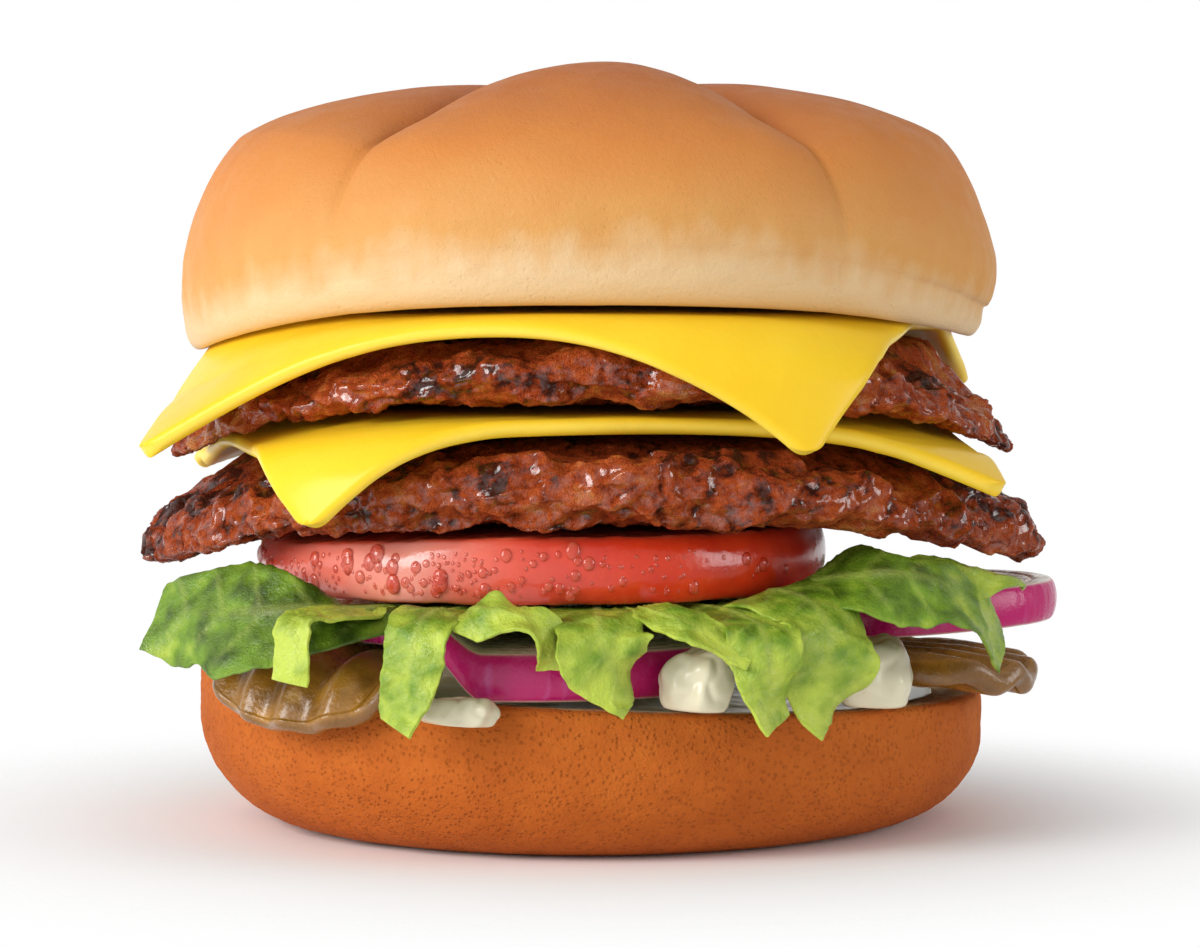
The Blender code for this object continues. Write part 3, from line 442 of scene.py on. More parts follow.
def crown_profile(rings, rim_steps, dome_steps):
    """(r, z) of the crown's template: the cut face, a rounded rim from -1 to 0, and a superellipse dome to 1."""
    inner = CROWN_RIM_RADIUS / CROWN_RADIUS * 0.985
    face = [(r, -1.0) for r in rings] + [(inner, -1.0)]
    rim = []
    for i in range(1, rim_steps + 1):
        a = math.pi / 2 * i / rim_steps
        rim.append((inner + (1.0 - inner) * math.sin(a) ** 0.8, -max(math.cos(a), 0.0) ** 1.1))
    power = 2.0 / CROWN_FULLNESS
    dome = []
    for i in range(1, dome_steps + 1):
        a = math.pi / 2 * i / dome_steps
        dome.append((max(math.cos(a), 0.0) ** power if i < dome_steps else 0.0, math.sin(a) ** power))
    return face + rim + dome


def tomato_shape(points):
    """Template to tomato slice: a nearly round slab whose skin bulges a little."""
    r = np.hypot(points[:, 0], points[:, 1])
    angle = np.arctan2(points[:, 1], points[:, 0])
    wide = TOMATO_RADIUS * r * (1.0 + 0.008 * np.sin(5.0 * angle))
    x, y = TOMATO_CENTRE[0] + wide * np.cos(angle), TOMATO_CENTRE[1] + wide * np.sin(angle)
    top = TOMATO_LEVEL + TOMATO_THICKNESS - patty_fall(x, y, LOWER_PATTY, -1.0)
    z = TOMATO_LEVEL + (top - TOMATO_LEVEL) * (points[:, 2] + 1.0) / 2.0
    return np.stack([x, y, z], axis=1)


def onion_base(x, spec):
    """The underside of an onion slice: level, then climbing by climb_height between the two places in climb."""
    return spec["level"] + spec["climb_height"] * onion_climb(x, spec)


def onion_climb(x, spec):
    """0 where an onion slice lies low and 1 where it has climbed."""
    start, end = spec["climb"]
    return ease(0.0, 1.0, (x - start) / (end - start))


def onion_top(x, spec):
    """The upper face of an onion slice."""
    low, high = spec["thickness"]
    return onion_base(x, spec) + low + (high - low) * onion_climb(x, spec)


def onion_shape(spec):
    """Template to onion slice: a nearly round slab between its underside and its upper face."""
    def shape(points):
        r = np.hypot(points[:, 0], points[:, 1])
        angle = np.arctan2(points[:, 1], points[:, 0])
        wide = spec["radius"] * r * (1.0 + 0.012 * np.sin(2.0 * angle + 0.7))
        x, y = spec["centre"][0] + wide * np.cos(angle), spec["centre"][1] + wide * np.sin(angle)
        base, top = onion_base(x, spec), onion_top(x, spec)
        return np.stack([x, y, base + (top - base) * (points[:, 2] + 1.0) / 2.0], axis=1)
    return shape


def gherkin_shape(spec):
    """Template to gherkin chip: a rippled round slab that bends down over the heel's rim round an arc."""
    def shape(points):
        turn = math.radians(spec["turn"])
        along, across = points[:, 0] * spec["radius"][0], points[:, 1] * spec["radius"][1]
        fx = spec["centre"][0] + along * math.cos(turn) - across * math.sin(turn)
        fy = spec["centre"][1] + along * math.sin(turn) + across * math.cos(turn)
        ripple = GHERKIN_RIPPLE * np.sin(2.0 * math.pi * along / GHERKIN_RIPPLE_LENGTH)
        walk, bearing = np.hypot(fx, fy), np.arctan2(fy, fx)
        steepest = math.radians(spec["hang"])
        bent = np.clip((walk - GHERKIN_BEND_AT) / GHERKIN_BEND, 0.0, steepest)
        straight = np.maximum(walk - GHERKIN_BEND_AT - GHERKIN_BEND * steepest, 0.0)
        lift = ripple + GHERKIN_THICKNESS * (points[:, 2] + 1.0) / 2.0 + GHERKIN_RIPPLE
        reach = np.minimum(walk, GHERKIN_BEND_AT) + (GHERKIN_BEND + lift) * np.sin(bent) + straight * np.cos(steepest)
        drop = (GHERKIN_BEND + lift) * (1.0 - np.cos(bent)) + straight * np.sin(steepest)
        z = spec["level"] - HEEL_LEAN * (fx - spec["centre"][0]) + lift - drop
        return np.stack([reach * np.cos(bearing), reach * np.sin(bearing), z], axis=1)
    return shape


def dollop_shape(spec):
    """Template to dollop: a soft hill on the heel's rim, longer along the rim than across it, and a little uneven."""
    def shape(points):
        cx, cy = spec["centre"]
        out = np.array([cx, cy]) / math.hypot(cx, cy)
        uneven = 1.0 + 0.12 * lumps(points * 10.0 * MM, 13.0 * MM, 11)
        along, across = points[:, 0] * spec["radius"][0] * uneven, points[:, 1] * spec["radius"][1] * uneven
        x, y = cx + out[1] * along + out[0] * across, cy - out[0] * along + out[1] * across
        base = HEEL_HEIGHT - HEEL_LEAN * x + GAP - spec["drop"]
        return np.stack([x, y, base + spec["height"] * uneven * points[:, 2]], axis=1)
    return shape


def dollop_profile(steps):
    """(r, z) of a blob of radius 1 and height 1 that swells above a narrower flat foot."""
    low = math.radians(-40.0)
    turns = [low + (math.pi / 2 - low) * i / steps for i in range(steps + 1)]
    floor = math.sin(low)
    blob = [(math.cos(a) ** 0.9, (math.sin(a) - floor) / (1.0 - floor)) for a in turns[:-1]]
    return [(0.0, 0.0), (0.42, 0.0)] + blob + [(0.0, 1.0)]


def along_route(route, share):
    """Points on the smooth curve through four route points, which it meets at shares 0, 1/3, 2/3 and 1."""
    points = np.array(route, float) * MM
    t = share * 3.0
    total = np.zeros((len(share), 3))
    for i in range(4):
        weight = np.ones(len(share))
        for j in range(4):
            if j != i:
                weight = weight * (t - j) / (i - j)
        total += weight[:, None] * points[i]
    return total


def leaf_room(x, y):
    """The lowest and highest a leaf may lie at a place, so that it passes between what is under and over it. Past
    the edge of a piece the bound opens at LEAF_SLOPE."""
    high = np.full(len(x), LOWER_PATTY_LEVEL) - patty_fall(x, y, LOWER_PATTY, -1.0) - LEAF_CLEARANCE
    past = np.hypot(x - TOMATO_CENTRE[0], y - TOMATO_CENTRE[1]) - TOMATO_RADIUS - 2.0 * LEAF_CLEARANCE
    high = np.minimum(high, TOMATO_LEVEL - LEAF_CLEARANCE * 0.7 + LEAF_SLOPE * np.maximum(past, 0.0))
    low = np.full(len(x), -1.0)
    for spec in (FRONT_ONION, SIDE_ONION):
        past = np.hypot(x - spec["centre"][0], y - spec["centre"][1]) - spec["radius"] - LEAF_CLEARANCE
        onion = np.maximum(onion_top(x - 2.5 * MM, spec), onion_top(x + 2.5 * MM, spec))
        low = np.maximum(low, onion + LEAF_CLEARANCE * 0.85 - 2.5 * np.maximum(past, 0.0))
    past = np.hypot(x, y) - HEEL_RADIUS - LEAF_CLEARANCE
    low = np.maximum(low, heel_top(x, y) + LEAF_CLEARANCE - 6.0 * np.maximum(past, 0.0))
    for spec in DOLLOPS.values():
        past = np.hypot(x - spec["centre"][0], y - spec["centre"][1]) - spec["radius"][0] - LEAF_CLEARANCE
        crest = HEEL_HEIGHT + spec["height"] - spec["drop"] + 2.0 * LEAF_CLEARANCE
        low = np.maximum(low, crest - 6.0 * np.maximum(past, 0.0))
    return low, high


def leaf_shape(leaf):
    """Flat square to leaf: the first coordinate runs along the route and the second across it. The leaf is cupped,
    its edges wave up and down, more towards the rim, and it is kept inside the room between its neighbours."""
    def shape(points):
        share = (points[:, 0] + 1.0) / 2.0
        side = points[:, 1]
        spine = along_route(leaf["route"], share)
        ahead = along_route(leaf["route"], share + 0.01) - along_route(leaf["route"], share - 0.01)
        ahead /= np.linalg.norm(ahead, axis=1)[:, None]
        outward = spine * np.array([1.0, 1.0, 0.0])
        outward /= np.linalg.norm(outward, axis=1)[:, None]
        upward = np.array([0.0, 0.0, 1.0]) + outward * 0.8
        across = np.cross(ahead, upward)
        across /= np.linalg.norm(across, axis=1)[:, None]
        normal = np.cross(across, ahead)
        tilt = (math.radians(leaf["tilt"]) * ease(0.15, 0.6, share))[:, None]
        across, normal = across * np.cos(tilt) + normal * np.sin(tilt), normal * np.cos(tilt) - across * np.sin(tilt)
        width = np.interp(share, (0.0, 1 / 3, 2 / 3, 1.0), leaf["widths"]) * MM / 2.0
        width = width * (1.0 + 0.10 * np.sin(9.0 * share + 3.0 * np.sign(side) + leaf["phase"]))
        free = ease(0.30, 0.60, share)
        wave = np.sin(2.0 * math.pi * leaf["waves"] * share + leaf["phase"] + 1.7 * (side > 0))
        lift = leaf["ruffle"] * MM * free * (0.9 * wave * np.abs(side) ** 1.5 + 0.35 * (1.0 - side ** 2))
        placed = spine + across * (side * width)[:, None] + normal * lift[:, None]
        low, high = leaf_room(placed[:, 0], placed[:, 1])
        placed[:, 2] = np.minimum(np.maximum(placed[:, 2], low), np.maximum(high, low))
        return placed
    return shape


def back_leaves():
    """The leaves round the back, one for each bearing, with lengths, drops and waves drawn from the seed."""
    draw = np.random.default_rng(BACK_SEED)
    leaves = {}
    for number, bearing in enumerate(BACK_BEARINGS):
        way = math.radians(bearing + draw.uniform(-4.0, 4.0))
        out = BACK_LEAF["reach"] + draw.uniform(-1.0, 2.5)
        drop = draw.uniform(3.0, 10.5)
        skew = draw.uniform(-0.10, 0.10)

        def at(distance, level, turn=0.0):
            return (distance * math.cos(way + turn), distance * math.sin(way + turn), level)

        level = BACK_LEAF["out_level"]
        leaves[f"back_leaf_{number}"] = dict(
            route=(at(BACK_LEAF["root"], BACK_LEAF["root_level"]), at(BACK_LEAF["shoulder"], level),
                   at(out, level - 0.2 * drop, skew), at(out - 0.5, level - drop, 1.6 * skew)),
            widths=(6, BACK_LEAF["width"], BACK_LEAF["width"] * 0.95, BACK_LEAF["width"] * 0.5),
            ruffle=BACK_LEAF["ruffle"], waves=BACK_LEAF["waves"], tilt=0, phase=draw.uniform(0.0, 6.28))
    return leaves


def core_shape(points):
    """Template to the heap's core: a thin slab between the front onion and the tomato."""
    x = CORE_CENTRE[0] + CORE_RADIUS * points[:, 0]
    y = CORE_CENTRE[1] + CORE_RADIUS * points[:, 1]
    low = np.maximum(CORE_LEVEL, onion_top(x, FRONT_ONION) + 1.5 * GAP)
    return np.stack([x, y, low + (CORE_TOP - low) * (points[:, 2] + 1.0) / 2.0], axis=1)


def fill_shape(points):
    """Template to the heap's body behind the onion, from the mayonnaise up to the tomato's level."""
    x = FILL_CENTRE[0] + FILL_RADIUS[0] * points[:, 0]
    y = FILL_CENTRE[1] + FILL_RADIUS[1] * points[:, 1]
    uneven = 1.0 + 0.05 * lumps(points * 20.0 * MM, 16.0 * MM, 5)
    low = FILL_LEVEL + 0.9 * MM * np.abs(points[:, 0])
    return np.stack([FILL_CENTRE[0] + (x - FILL_CENTRE[0]) * uneven, FILL_CENTRE[1] + (y - FILL_CENTRE[1]) * uneven,
                     low + (CORE_TOP - low) * (points[:, 2] + 1.0) / 2.0], axis=1)


def lattice_key(cell):
    """Scatters lattice cells over a table: their whole numbers times large primes, combined bit by bit."""
    return ((cell[:, 0] * 73856093) ^ (cell[:, 1] * 19349663) ^ (cell[:, 2] * 83492791)) & (LATTICE_SIZE - 1)


def grain(points, size, seed):
    """Soft random relief from about -1 to 1: each corner of a lattice of that size has a random slope, and a point
    blends the slopes of the eight corners round it."""
    table = np.random.default_rng(seed).normal(size=(LATTICE_SIZE, 3))
    table /= np.linalg.norm(table, axis=1)[:, None]
    place = points / size + LATTICE_SHIFT
    cell = np.floor(place).astype(np.int64)
    inside = place - cell
    blend = inside ** 3 * (inside * (inside * 6.0 - 15.0) + 10.0)
    total = np.zeros(len(points))
    for corner in np.ndindex(2, 2, 2):
        weight = np.prod(np.where(np.array(corner) == 1, blend, 1.0 - blend), axis=1)
        total += weight * np.sum(table[lattice_key(cell + corner)] * (inside - corner), axis=1)
    return total * 1.7


def rough_grain(points, size, seed, layers=3):
    """Layers of grain, each half the size and half the height of the last."""
    return sum(grain(points, size / 2 ** i, seed + 17 * i) / 2 ** i for i in range(layers))


def clumps(points, size, seed):
    """Rounded lumps packed side by side: each lattice cell has a scattered centre, and a point is 1 at the nearest
    centre and falls to 0 with the square of its distance. Also gives each lump its own shade from 0 to 1."""
    draw = np.random.default_rng(seed)
    scatter, shades = draw.uniform(0.0, 1.0, (LATTICE_SIZE, 3)), draw.uniform(0.0, 1.0, LATTICE_SIZE)
    place = points / size + LATTICE_SHIFT
    cell = np.floor(place).astype(np.int64)
    nearest, shade = np.full(len(points), 9.0), np.zeros(len(points))
    for step in np.ndindex(3, 3, 3):
        at = cell + np.array(step) - 1
        key = lattice_key(at)
        away = np.sum((place - at - scatter[key]) ** 2, axis=1)
        shade = np.where(away < nearest, shades[key], shade)
        nearest = np.minimum(nearest, away)
    return 1.0 - np.clip(nearest, 0.0, 1.0), shade


def shaped(template, shape):
    """Applies a shape function to a (rows, columns, 3) template."""
    rows, columns, _ = template.shape
    return shape(template.reshape(-1, 3)).reshape(rows, columns, 3)


def over(grid, field):
    """Works out a field of points over a grid."""
    return field(grid.reshape(-1, 3)).reshape(grid.shape[:2])


def grained(grid, name, stretch=(1.0, 1.0, 1.0)):
    """The named grain over a grid. Its lumps are longer in a direction whose stretch is under 1."""
    return over(grid * stretch, lambda p: rough_grain(p, *GRAINS[name]))


def clumped(grid, size, seed):
    """Clumps over a grid: 1 at the middle of each and 0 between them."""
    return over(grid, lambda p: clumps(p, size, seed)[0])


def polar(template):
    """The radius and the bearing of each point of a round template."""
    return np.hypot(template[:, :, 0], template[:, :, 1]), np.arctan2(template[:, :, 1], template[:, :, 0])


def round_template(profile, columns):
    """An (r, z) profile carried round Z: rows follow the profile and columns the turn."""
    radius, height = np.array(profile, float).T
    turn = np.arange(columns) * 2.0 * math.pi / columns
    return np.stack([radius[:, None] * np.cos(turn), radius[:, None] * np.sin(turn),
                     np.repeat(height[:, None], columns, axis=1)], axis=2)


def fine_profile(profile, count, cuts=2):
    """A profile with its corners cut a few times and then spaced evenly along its length. Its ends stay."""
    line = np.array(profile, float)
    for _ in range(cuts):
        near, far = line[:-1] * 0.75 + line[1:] * 0.25, line[:-1] * 0.25 + line[1:] * 0.75
        line = np.concatenate([line[:1], np.stack([near, far], axis=1).reshape(-1, 2), line[-1:]])
    run = np.concatenate([[0.0], np.cumsum(np.linalg.norm(np.diff(line, axis=0), axis=1) + 1e-9)])
    even = np.linspace(0.0, run[-1], count)
    return list(zip(np.interp(even, run, line[:, 0]), np.interp(even, run, line[:, 1])))


def normals(grid, wrap):
    """The unit normal at each point of a grid, from the cross product of the steps along its columns and rows."""
    up = np.gradient(grid, axis=0)
    if wrap:
        along = (np.roll(grid, -1, axis=1) - np.roll(grid, 1, axis=1)) / 2.0
        normal = np.cross(along, up)
        normal[0], normal[-1] = (0.0, 0.0, -1.0), (0.0, 0.0, 1.0)
    else:
        normal = np.cross(up, np.gradient(grid, axis=1))
    return normal / np.maximum(np.linalg.norm(normal, axis=2), 1e-12)[:, :, None]


def closed_round(grid):
    """Points, quads and triangles of a round grid whose first and last rows are single poles."""
    rows, columns, _ = grid.shape
    points = np.concatenate([grid[0, :1], grid[1:-1].reshape(-1, 3), grid[-1, :1]])
    ring = 1 + np.arange((rows - 2) * columns).reshape(rows - 2, columns)
    after = np.roll(ring, -1, axis=1)
    quads = np.stack([ring[:-1], after[:-1], after[1:], ring[1:]], axis=2).reshape(-1, 4)
    foot = np.stack([np.zeros(columns, int), after[0], ring[0]], axis=1)
    top = np.stack([np.full(columns, len(points) - 1), ring[-1], after[-1]], axis=1)
    return points, quads, np.concatenate([foot, top])


def pole_values(values):
    """The values of a round grid in the order of closed_round's points."""
    return np.concatenate([values[0, :1], values[1:-1].ravel(), values[-1, :1]])


def relieved(grid, relief, **values):
    """A round grid moved along its normals by its relief and closed, with its named values in its points' order."""
    surface = closed_round(grid + normals(grid, True) * relief[:, :, None])
    return surface, {label: pole_values(value) for label, value in values.items()}


def closed_sheet(top, bottom):
    """Points, quads and triangles of a sheet between two grids that share their border."""
    rows, columns, _ = top.shape
    upper = np.arange(rows * columns).reshape(rows, columns)
    lower = upper.copy()
    lower[1:-1, 1:-1] = rows * columns + np.arange((rows - 2) * (columns - 2)).reshape(rows - 2, columns - 2)
    points = np.concatenate([top.reshape(-1, 3), bottom[1:-1, 1:-1].reshape(-1, 3)])
    over_quads = np.stack([upper[:-1, :-1], upper[1:, :-1], upper[1:, 1:], upper[:-1, 1:]], axis=2)
    under_quads = np.stack([lower[:-1, :-1], lower[:-1, 1:], lower[1:, 1:], lower[1:, :-1]], axis=2)
    return points, np.concatenate([over_quads.reshape(-1, 4), under_quads.reshape(-1, 4)]), np.zeros((0, 3), int)


def sheet_values(values):
    """The values of a sheet's grid in the order of closed_sheet's points."""
    return np.concatenate([values.ravel(), values[1:-1, 1:-1].ravel()])


def steps_with_border(count, border):
    """Places from -1 to 1: even in the middle, and close together within border of each end, for a rounded edge."""
    turn = 1.0 - np.cos(np.linspace(0.0, math.pi / 2, 6))
    edge = -1.0 + border * turn
    return np.concatenate([edge, np.linspace(edge[-1], -edge[-1], count)[1:-1], -edge[::-1]])


def border_round(places, border):
    """1 inside and falling to 0 at each end of the places, round a quarter circle of width border."""
    inward = np.clip((1.0 - np.abs(places)) / border, 0.0, 1.0)
    return np.sqrt(np.clip(1.0 - (1.0 - inward) ** 2, 0.0, 1.0))


def join(parts):
    """Several (points, quads, triangles) as one."""
    points, quads, triangles, start = [], [], [], 0
    for more_points, more_quads, more_triangles in parts:
        points.append(more_points)
        quads.append(more_quads + start)
        triangles.append(more_triangles + start)
        start += len(more_points)
    return np.concatenate(points), np.concatenate(quads), np.concatenate(triangles)


def put_piece(name, surface, material, nodes, values=None):
    """Makes a smooth object of a surface, with its named values as attributes, that stands for its CAD nodes."""
    points, quads, triangles = surface
    if not np.isfinite(points).all():
        raise RuntimeError(f"{name} has points that are not numbers")
    mesh = bpy.data.meshes.new(name)
    mesh.vertices.add(len(points))
    mesh.vertices.foreach_set("co", points.astype(np.float32).ravel())
    corners = np.concatenate([quads.ravel(), triangles.ravel()]).astype(np.int32)
    starts = np.concatenate([np.arange(len(quads)) * 4, len(quads) * 4 + np.arange(len(triangles)) * 3])
    mesh.loops.add(len(corners))
    mesh.loops.foreach_set("vertex_index", corners)
    mesh.polygons.add(len(starts))
    mesh.polygons.foreach_set("loop_start", starts.astype(np.int32))
    mesh.update(calc_edges=True)
    mesh.shade_smooth()
    for label, value in (values or {}).items():
        mesh.attributes.new(label, "FLOAT", "POINT").data.foreach_set("value", value.astype(np.float32))
    mesh.materials.append(material)
    piece = bpy.data.objects.new(name, mesh)
    bpy.context.scene.collection.objects.link(piece)
    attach(piece, "root")
    if nodes:
        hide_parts(*nodes)


def crown_height(up):
    """Height over the cut face before the sag: the rim's part for up below 0 and the dome's part above."""
    dome = CROWN_TOP - CROWN_LEVEL - CROWN_RIM_HEIGHT
    return CROWN_RIM_HEIGHT * (1.0 + np.clip(up, -1.0, 0.0)) + dome * np.clip(up, 0.0, 1.0)


def crown_surface(wrinkle):
    """The crown: its shape, with wide soft dents, and fine wrinkles round the pale band where the dough stretched.
    bake grows with the height over the cut face, and its border is broken by streaks that run up and down."""
    template = round_template(crown_profile(np.linspace(0.0, 0.915, 14), 26, 96), 400)
    grid = shaped(template, crown_shape)
    height = crown_height(template[:, :, 2])
    streaks = grained(grid, "crown_streaks", (1.0, 1.0, 0.28))
    drift = grained(grid, "crown_drift")
    band = ease(1.0 * MM, 4.0 * MM, height) * ease(15.0 * MM, 8.0 * MM, height)
    folds = grained(grid, "crown_folds", (0.45, 0.45, 1.0))
    relief = RELIEF["crown_dents"] * drift * ease(3.0 * MM, 9.0 * MM, height) + wrinkle * folds * (0.25 + band)
    cut = (template[:, :, 2] <= -0.999).astype(float)
    crumb = clumped(grid, 2.2 * MM, 53)
    relief = relief * (1.0 - cut) - cut * RELIEF["crown_crumb"] * (1.0 - crumb)
    broken = 1.4 * MM * streaks * band + 1.3 * MM * drift
    return relieved(grid, relief, bake=np.clip((height - BAKE_START + broken) / BAKE_RANGE, 0.0, 1.0), cut=cut)


def heel_surface(wrinkle):
    """The heel: its shape, its corners rounded, with soft dents in the wall and open crumb on the cut face. bake
    falls a little from the foot to the rim."""
    template = round_template(fine_profile(heel_profile(6, 14), 150), 420)
    grid = shaped(template, heel_shape)
    up = (template[:, :, 2] + 1.0) / 2.0
    radius = polar(template)[0]
    cut = ease(0.9, 0.97, up) * ease(0.985, 0.95, radius)
    wall = ease(0.0, 0.06, up) * ease(0.97, 0.995, radius)
    drift, grit = grained(grid, "heel_drift"), grained(grid, "heel_grit")
    crumb = clumped(grid, 2.4 * MM, 71)
    relief = wall * (RELIEF["heel_dents"] * drift + wrinkle * grit) - cut * RELIEF["heel_crumb"] * (1.0 - crumb)
    return relieved(grid, relief, bake=0.58 - 0.14 * up + 0.16 * drift, cut=cut, streak=grit)


def minced(points, clump, seed):
    """Minced meat at points: how deep in a crevice each lies, between clumps of two sizes in a field bent by soft
    grain and along its folds, the shade of its clump, and fine grit."""
    bent = points + 1.3 * MM * np.stack([grain(points, 6.0 * MM, seed + i) for i in range(3)], axis=1)
    large, shade = clumps(bent, clump, seed + 5)
    small, fleck = clumps(bent * (1.0, 1.0, 1.3), clump * 0.42, seed + 6)
    folds = np.abs(rough_grain(bent, 11.0 * MM, seed + 7, 2))
    grit = rough_grain(points, 0.8 * MM, seed + 8, 2)
    crevice = 0.55 * (1.0 - large) + 0.25 * (1.0 - small) + 0.35 * ease(0.16, 0.0, folds)
    return crevice, 0.6 * shade + 0.4 * fleck, grit


def patty_surface(level, spec, clump, depth, painted_light_lift):
    """A patty: its shape with minced relief cut into it, full on the rim and light on the hidden faces. drift is soft
    grain, raised by painted light on a patty that lies in the cheese's shadow."""
    edge = spec["edge"] / spec["radius"][0]
    rings = (0.0, 0.3, 0.5, 0.62, 0.70, 0.74, 0.77, 0.80, 0.825, 0.85, 0.865)
    template = round_template(slab_profile(rings, 46, edge), 760)
    grid = shaped(template, patty_shape(level, spec)) * PATTY_DRAW_IN
    crevice, shade, grit = (v.reshape(grid.shape[:2]) for v in minced(grid.reshape(-1, 3), clump, spec["seed"] * 10))
    reach = ease(0.6, 0.8, polar(template)[0])
    relief = reach * (RELIEF["mince_grit"] * (grit - 1.0) - depth * crevice)
    grid = grid + normals(grid, True) * relief[:, :, None]
    # Painted light: the lift makes a patty lighter where the cheese above shades it.
    drift = painted_light_lift + over(grid, lambda p: rough_grain(p, 13.0 * MM, spec["seed"] + 90, 2))
    values = {"crevice": crevice, "shade": shade, "drift": drift}
    return closed_round(grid), {label: pole_values(value) for label, value in values.items()}


def square_template(places, corner):
    """A flat square over the places each way, the points outside its rounded corners pulled back onto them."""
    u, v = np.meshgrid(places, places, indexing="ij")
    inner = 1.0 - corner
    over_u, over_v = np.maximum(np.abs(u) - inner, 0.0), np.maximum(np.abs(v) - inner, 0.0)
    away = np.hypot(over_u, over_v)
    pull = np.where(away > corner, corner / np.maximum(away, 1e-9), 1.0)
    both = (over_u > 0.0) & (over_v > 0.0)
    u = np.where(both, np.copysign(inner + over_u * pull, u), u)
    v = np.where(both, np.copysign(inner + over_v * pull, v), v)
    return np.stack([u, v, np.zeros_like(u)], axis=2)


def cheese_surface(level, spec, patty, dents, seed):
    """A cheese slice: its draped sheet given its thickness outwards, with a round edge and faint dents. gloss is 1
    on its upper side and 0 underneath."""
    border = CHEESE_THICKNESS / CHEESE_SIDE
    places = steps_with_border(120, border)
    under = shaped(square_template(places, 2.0 * CHEESE_CORNER / CHEESE_SIDE), cheese_shape(level, spec, patty))
    across = normals(under, False)
    soft = over(under, lambda p: rough_grain(p, 14.0 * MM, seed, 2))
    half = CHEESE_THICKNESS / 2.0
    middle = under + across * half
    swell = np.minimum.outer(border_round(places, border), border_round(places, border))
    top = middle + across * (half * swell + dents * (soft - 0.6) * swell)[:, :, None]
    bottom = middle - across * (half * swell)[:, :, None]
    # rim carries the painted highlight of the rounded edge.
    rim = 1.0 - ease(0.0, 1.0, swell)
    gloss = np.concatenate([np.ones(rim.size), np.zeros(rim[1:-1, 1:-1].size)])
    return closed_sheet(top, bottom), {"rim": sheet_values(rim), "gloss": gloss}


def tomato_surface():
    """The tomato slice: a bulging band of skin between two cut faces, with wet, slightly sunken flesh. The glare
    value is a bell over the bearing: a painted highlight that makes the skin pale."""
    template = round_template(slab_profile(np.linspace(0.0, 0.93, 24), 40, 0.05), 420)
    grid = shaped(template, tomato_shape)
    radius, turn = polar(template)
    skin = ease(0.955, 0.975, radius)
    flesh, wall = grained(grid, "tomato_flesh"), grained(grid, "tomato_wall", (1.0, 1.0, 0.35))
    relief = RELIEF["tomato_skin"] * skin * wall - RELIEF["tomato_flesh"] * (1.0 - skin) * np.abs(flesh)
    # Painted highlight: a pale bell on the skin round the bearing.
    mist = np.exp(-((turn - GLARE_BEARING) / GLARE_SPREAD) ** 2) * skin * (0.85 + 0.3 * wall)
    return relieved(grid, relief, skin=skin, mist=mist)


def onion_surface(spec, layers):
    """An onion slice: a wall of skin lined up and down, and cut faces stepped where one layer meets the next."""
    template = round_template(slab_profile(np.linspace(0.0, 0.94, 70), 26, 0.05), 360)
    grid = shaped(template, onion_shape(spec))
    radius = polar(template)[0]
    skin = ease(0.955, 0.975, radius)
    wander = grained(template * 20.0 * MM, "onion_wander")
    phase = (radius + 0.012 * wander) * layers
    seam = np.abs(phase - np.round(phase)) * 2.0
    lines = grained(grid, "onion_lines", (1.0, 1.0, 0.12))
    relief = RELIEF["onion_lines"] * skin * lines - RELIEF["onion_seams"] * (1.0 - skin) * ease(0.30, 0.0, seam)
    return relieved(grid, relief, skin=skin, seam=seam, line=lines)


def gherkin_surface(spec, seed):
    """A gherkin chip: its rippled, bent slab with warts on the skin and soft seed hollows in the faces."""
    template = round_template(slab_profile(np.linspace(0.0, 0.9, 40), 18, 0.1), 320)
    grid = shaped(template, gherkin_shape(spec))
    radius = polar(template)[0]
    skin = ease(0.93, 0.965, radius)
    warts = clumped(grid, 3.2 * MM, seed)
    seeds = clumped(template * 15.0 * MM * (1.0, 1.0, 0.0), 3.0 * MM, seed + 1)
    core = ease(0.85, 0.55, radius) * ease(0.86, 0.98, seeds)
    relief = skin * RELIEF["gherkin_warts"] * (warts - 1.0) - RELIEF["gherkin_seeds"] * core
    return relieved(grid, relief, skin=skin, core=core)


def dollop_surface(spec, seed):
    """A mayonnaise dollop: its hill with soft folds pressed into it."""
    template = round_template(fine_profile(dollop_profile(14), 60), 110)
    grid = shaped(template, dollop_shape(spec))
    folds = over(grid, lambda p: rough_grain(p, 4.6 * MM, seed, 2))
    top = ease(0.02, 0.2, template[:, :, 2])
    return relieved(grid, RELIEF["mayonnaise_folds"] * top * (np.abs(folds) * 2.0 - 1.0))[0]


def ring_at(turn, radius):
    """Points on a level circle of that radius at the bearings, so that a field taken there runs round unbroken."""
    return np.stack([np.cos(turn), np.sin(turn), np.zeros_like(turn)], axis=2) * radius


def film_surface():
    """Mayonnaise smeared thinly on the heel's cut face: a sheet with a wandering outline, in the gap under the
    salad."""
    template = round_template(slab_profile(np.linspace(0.0, 0.97, 40), 6, 0.02), 260)
    radius, turn = polar(template)
    reach = SMEAR_REACH + SMEAR_WANDER * grained(ring_at(turn, 30.0 * MM), "smear_outline")
    x, y = radius * reach * np.cos(turn), radius * reach * np.sin(turn)
    thick = 0.10 * MM + 0.12 * MM * (1.0 + grained(np.stack([x, y, 0.0 * x], axis=2), "smear_thickness"))
    base = heel_top(x, y) + 0.03 * MM
    grid = np.stack([x, y, base + np.clip(thick, *SMEAR_THICKNESS) * (template[:, :, 2] + 1.0) / 2.0], axis=2)
    return closed_round(grid)


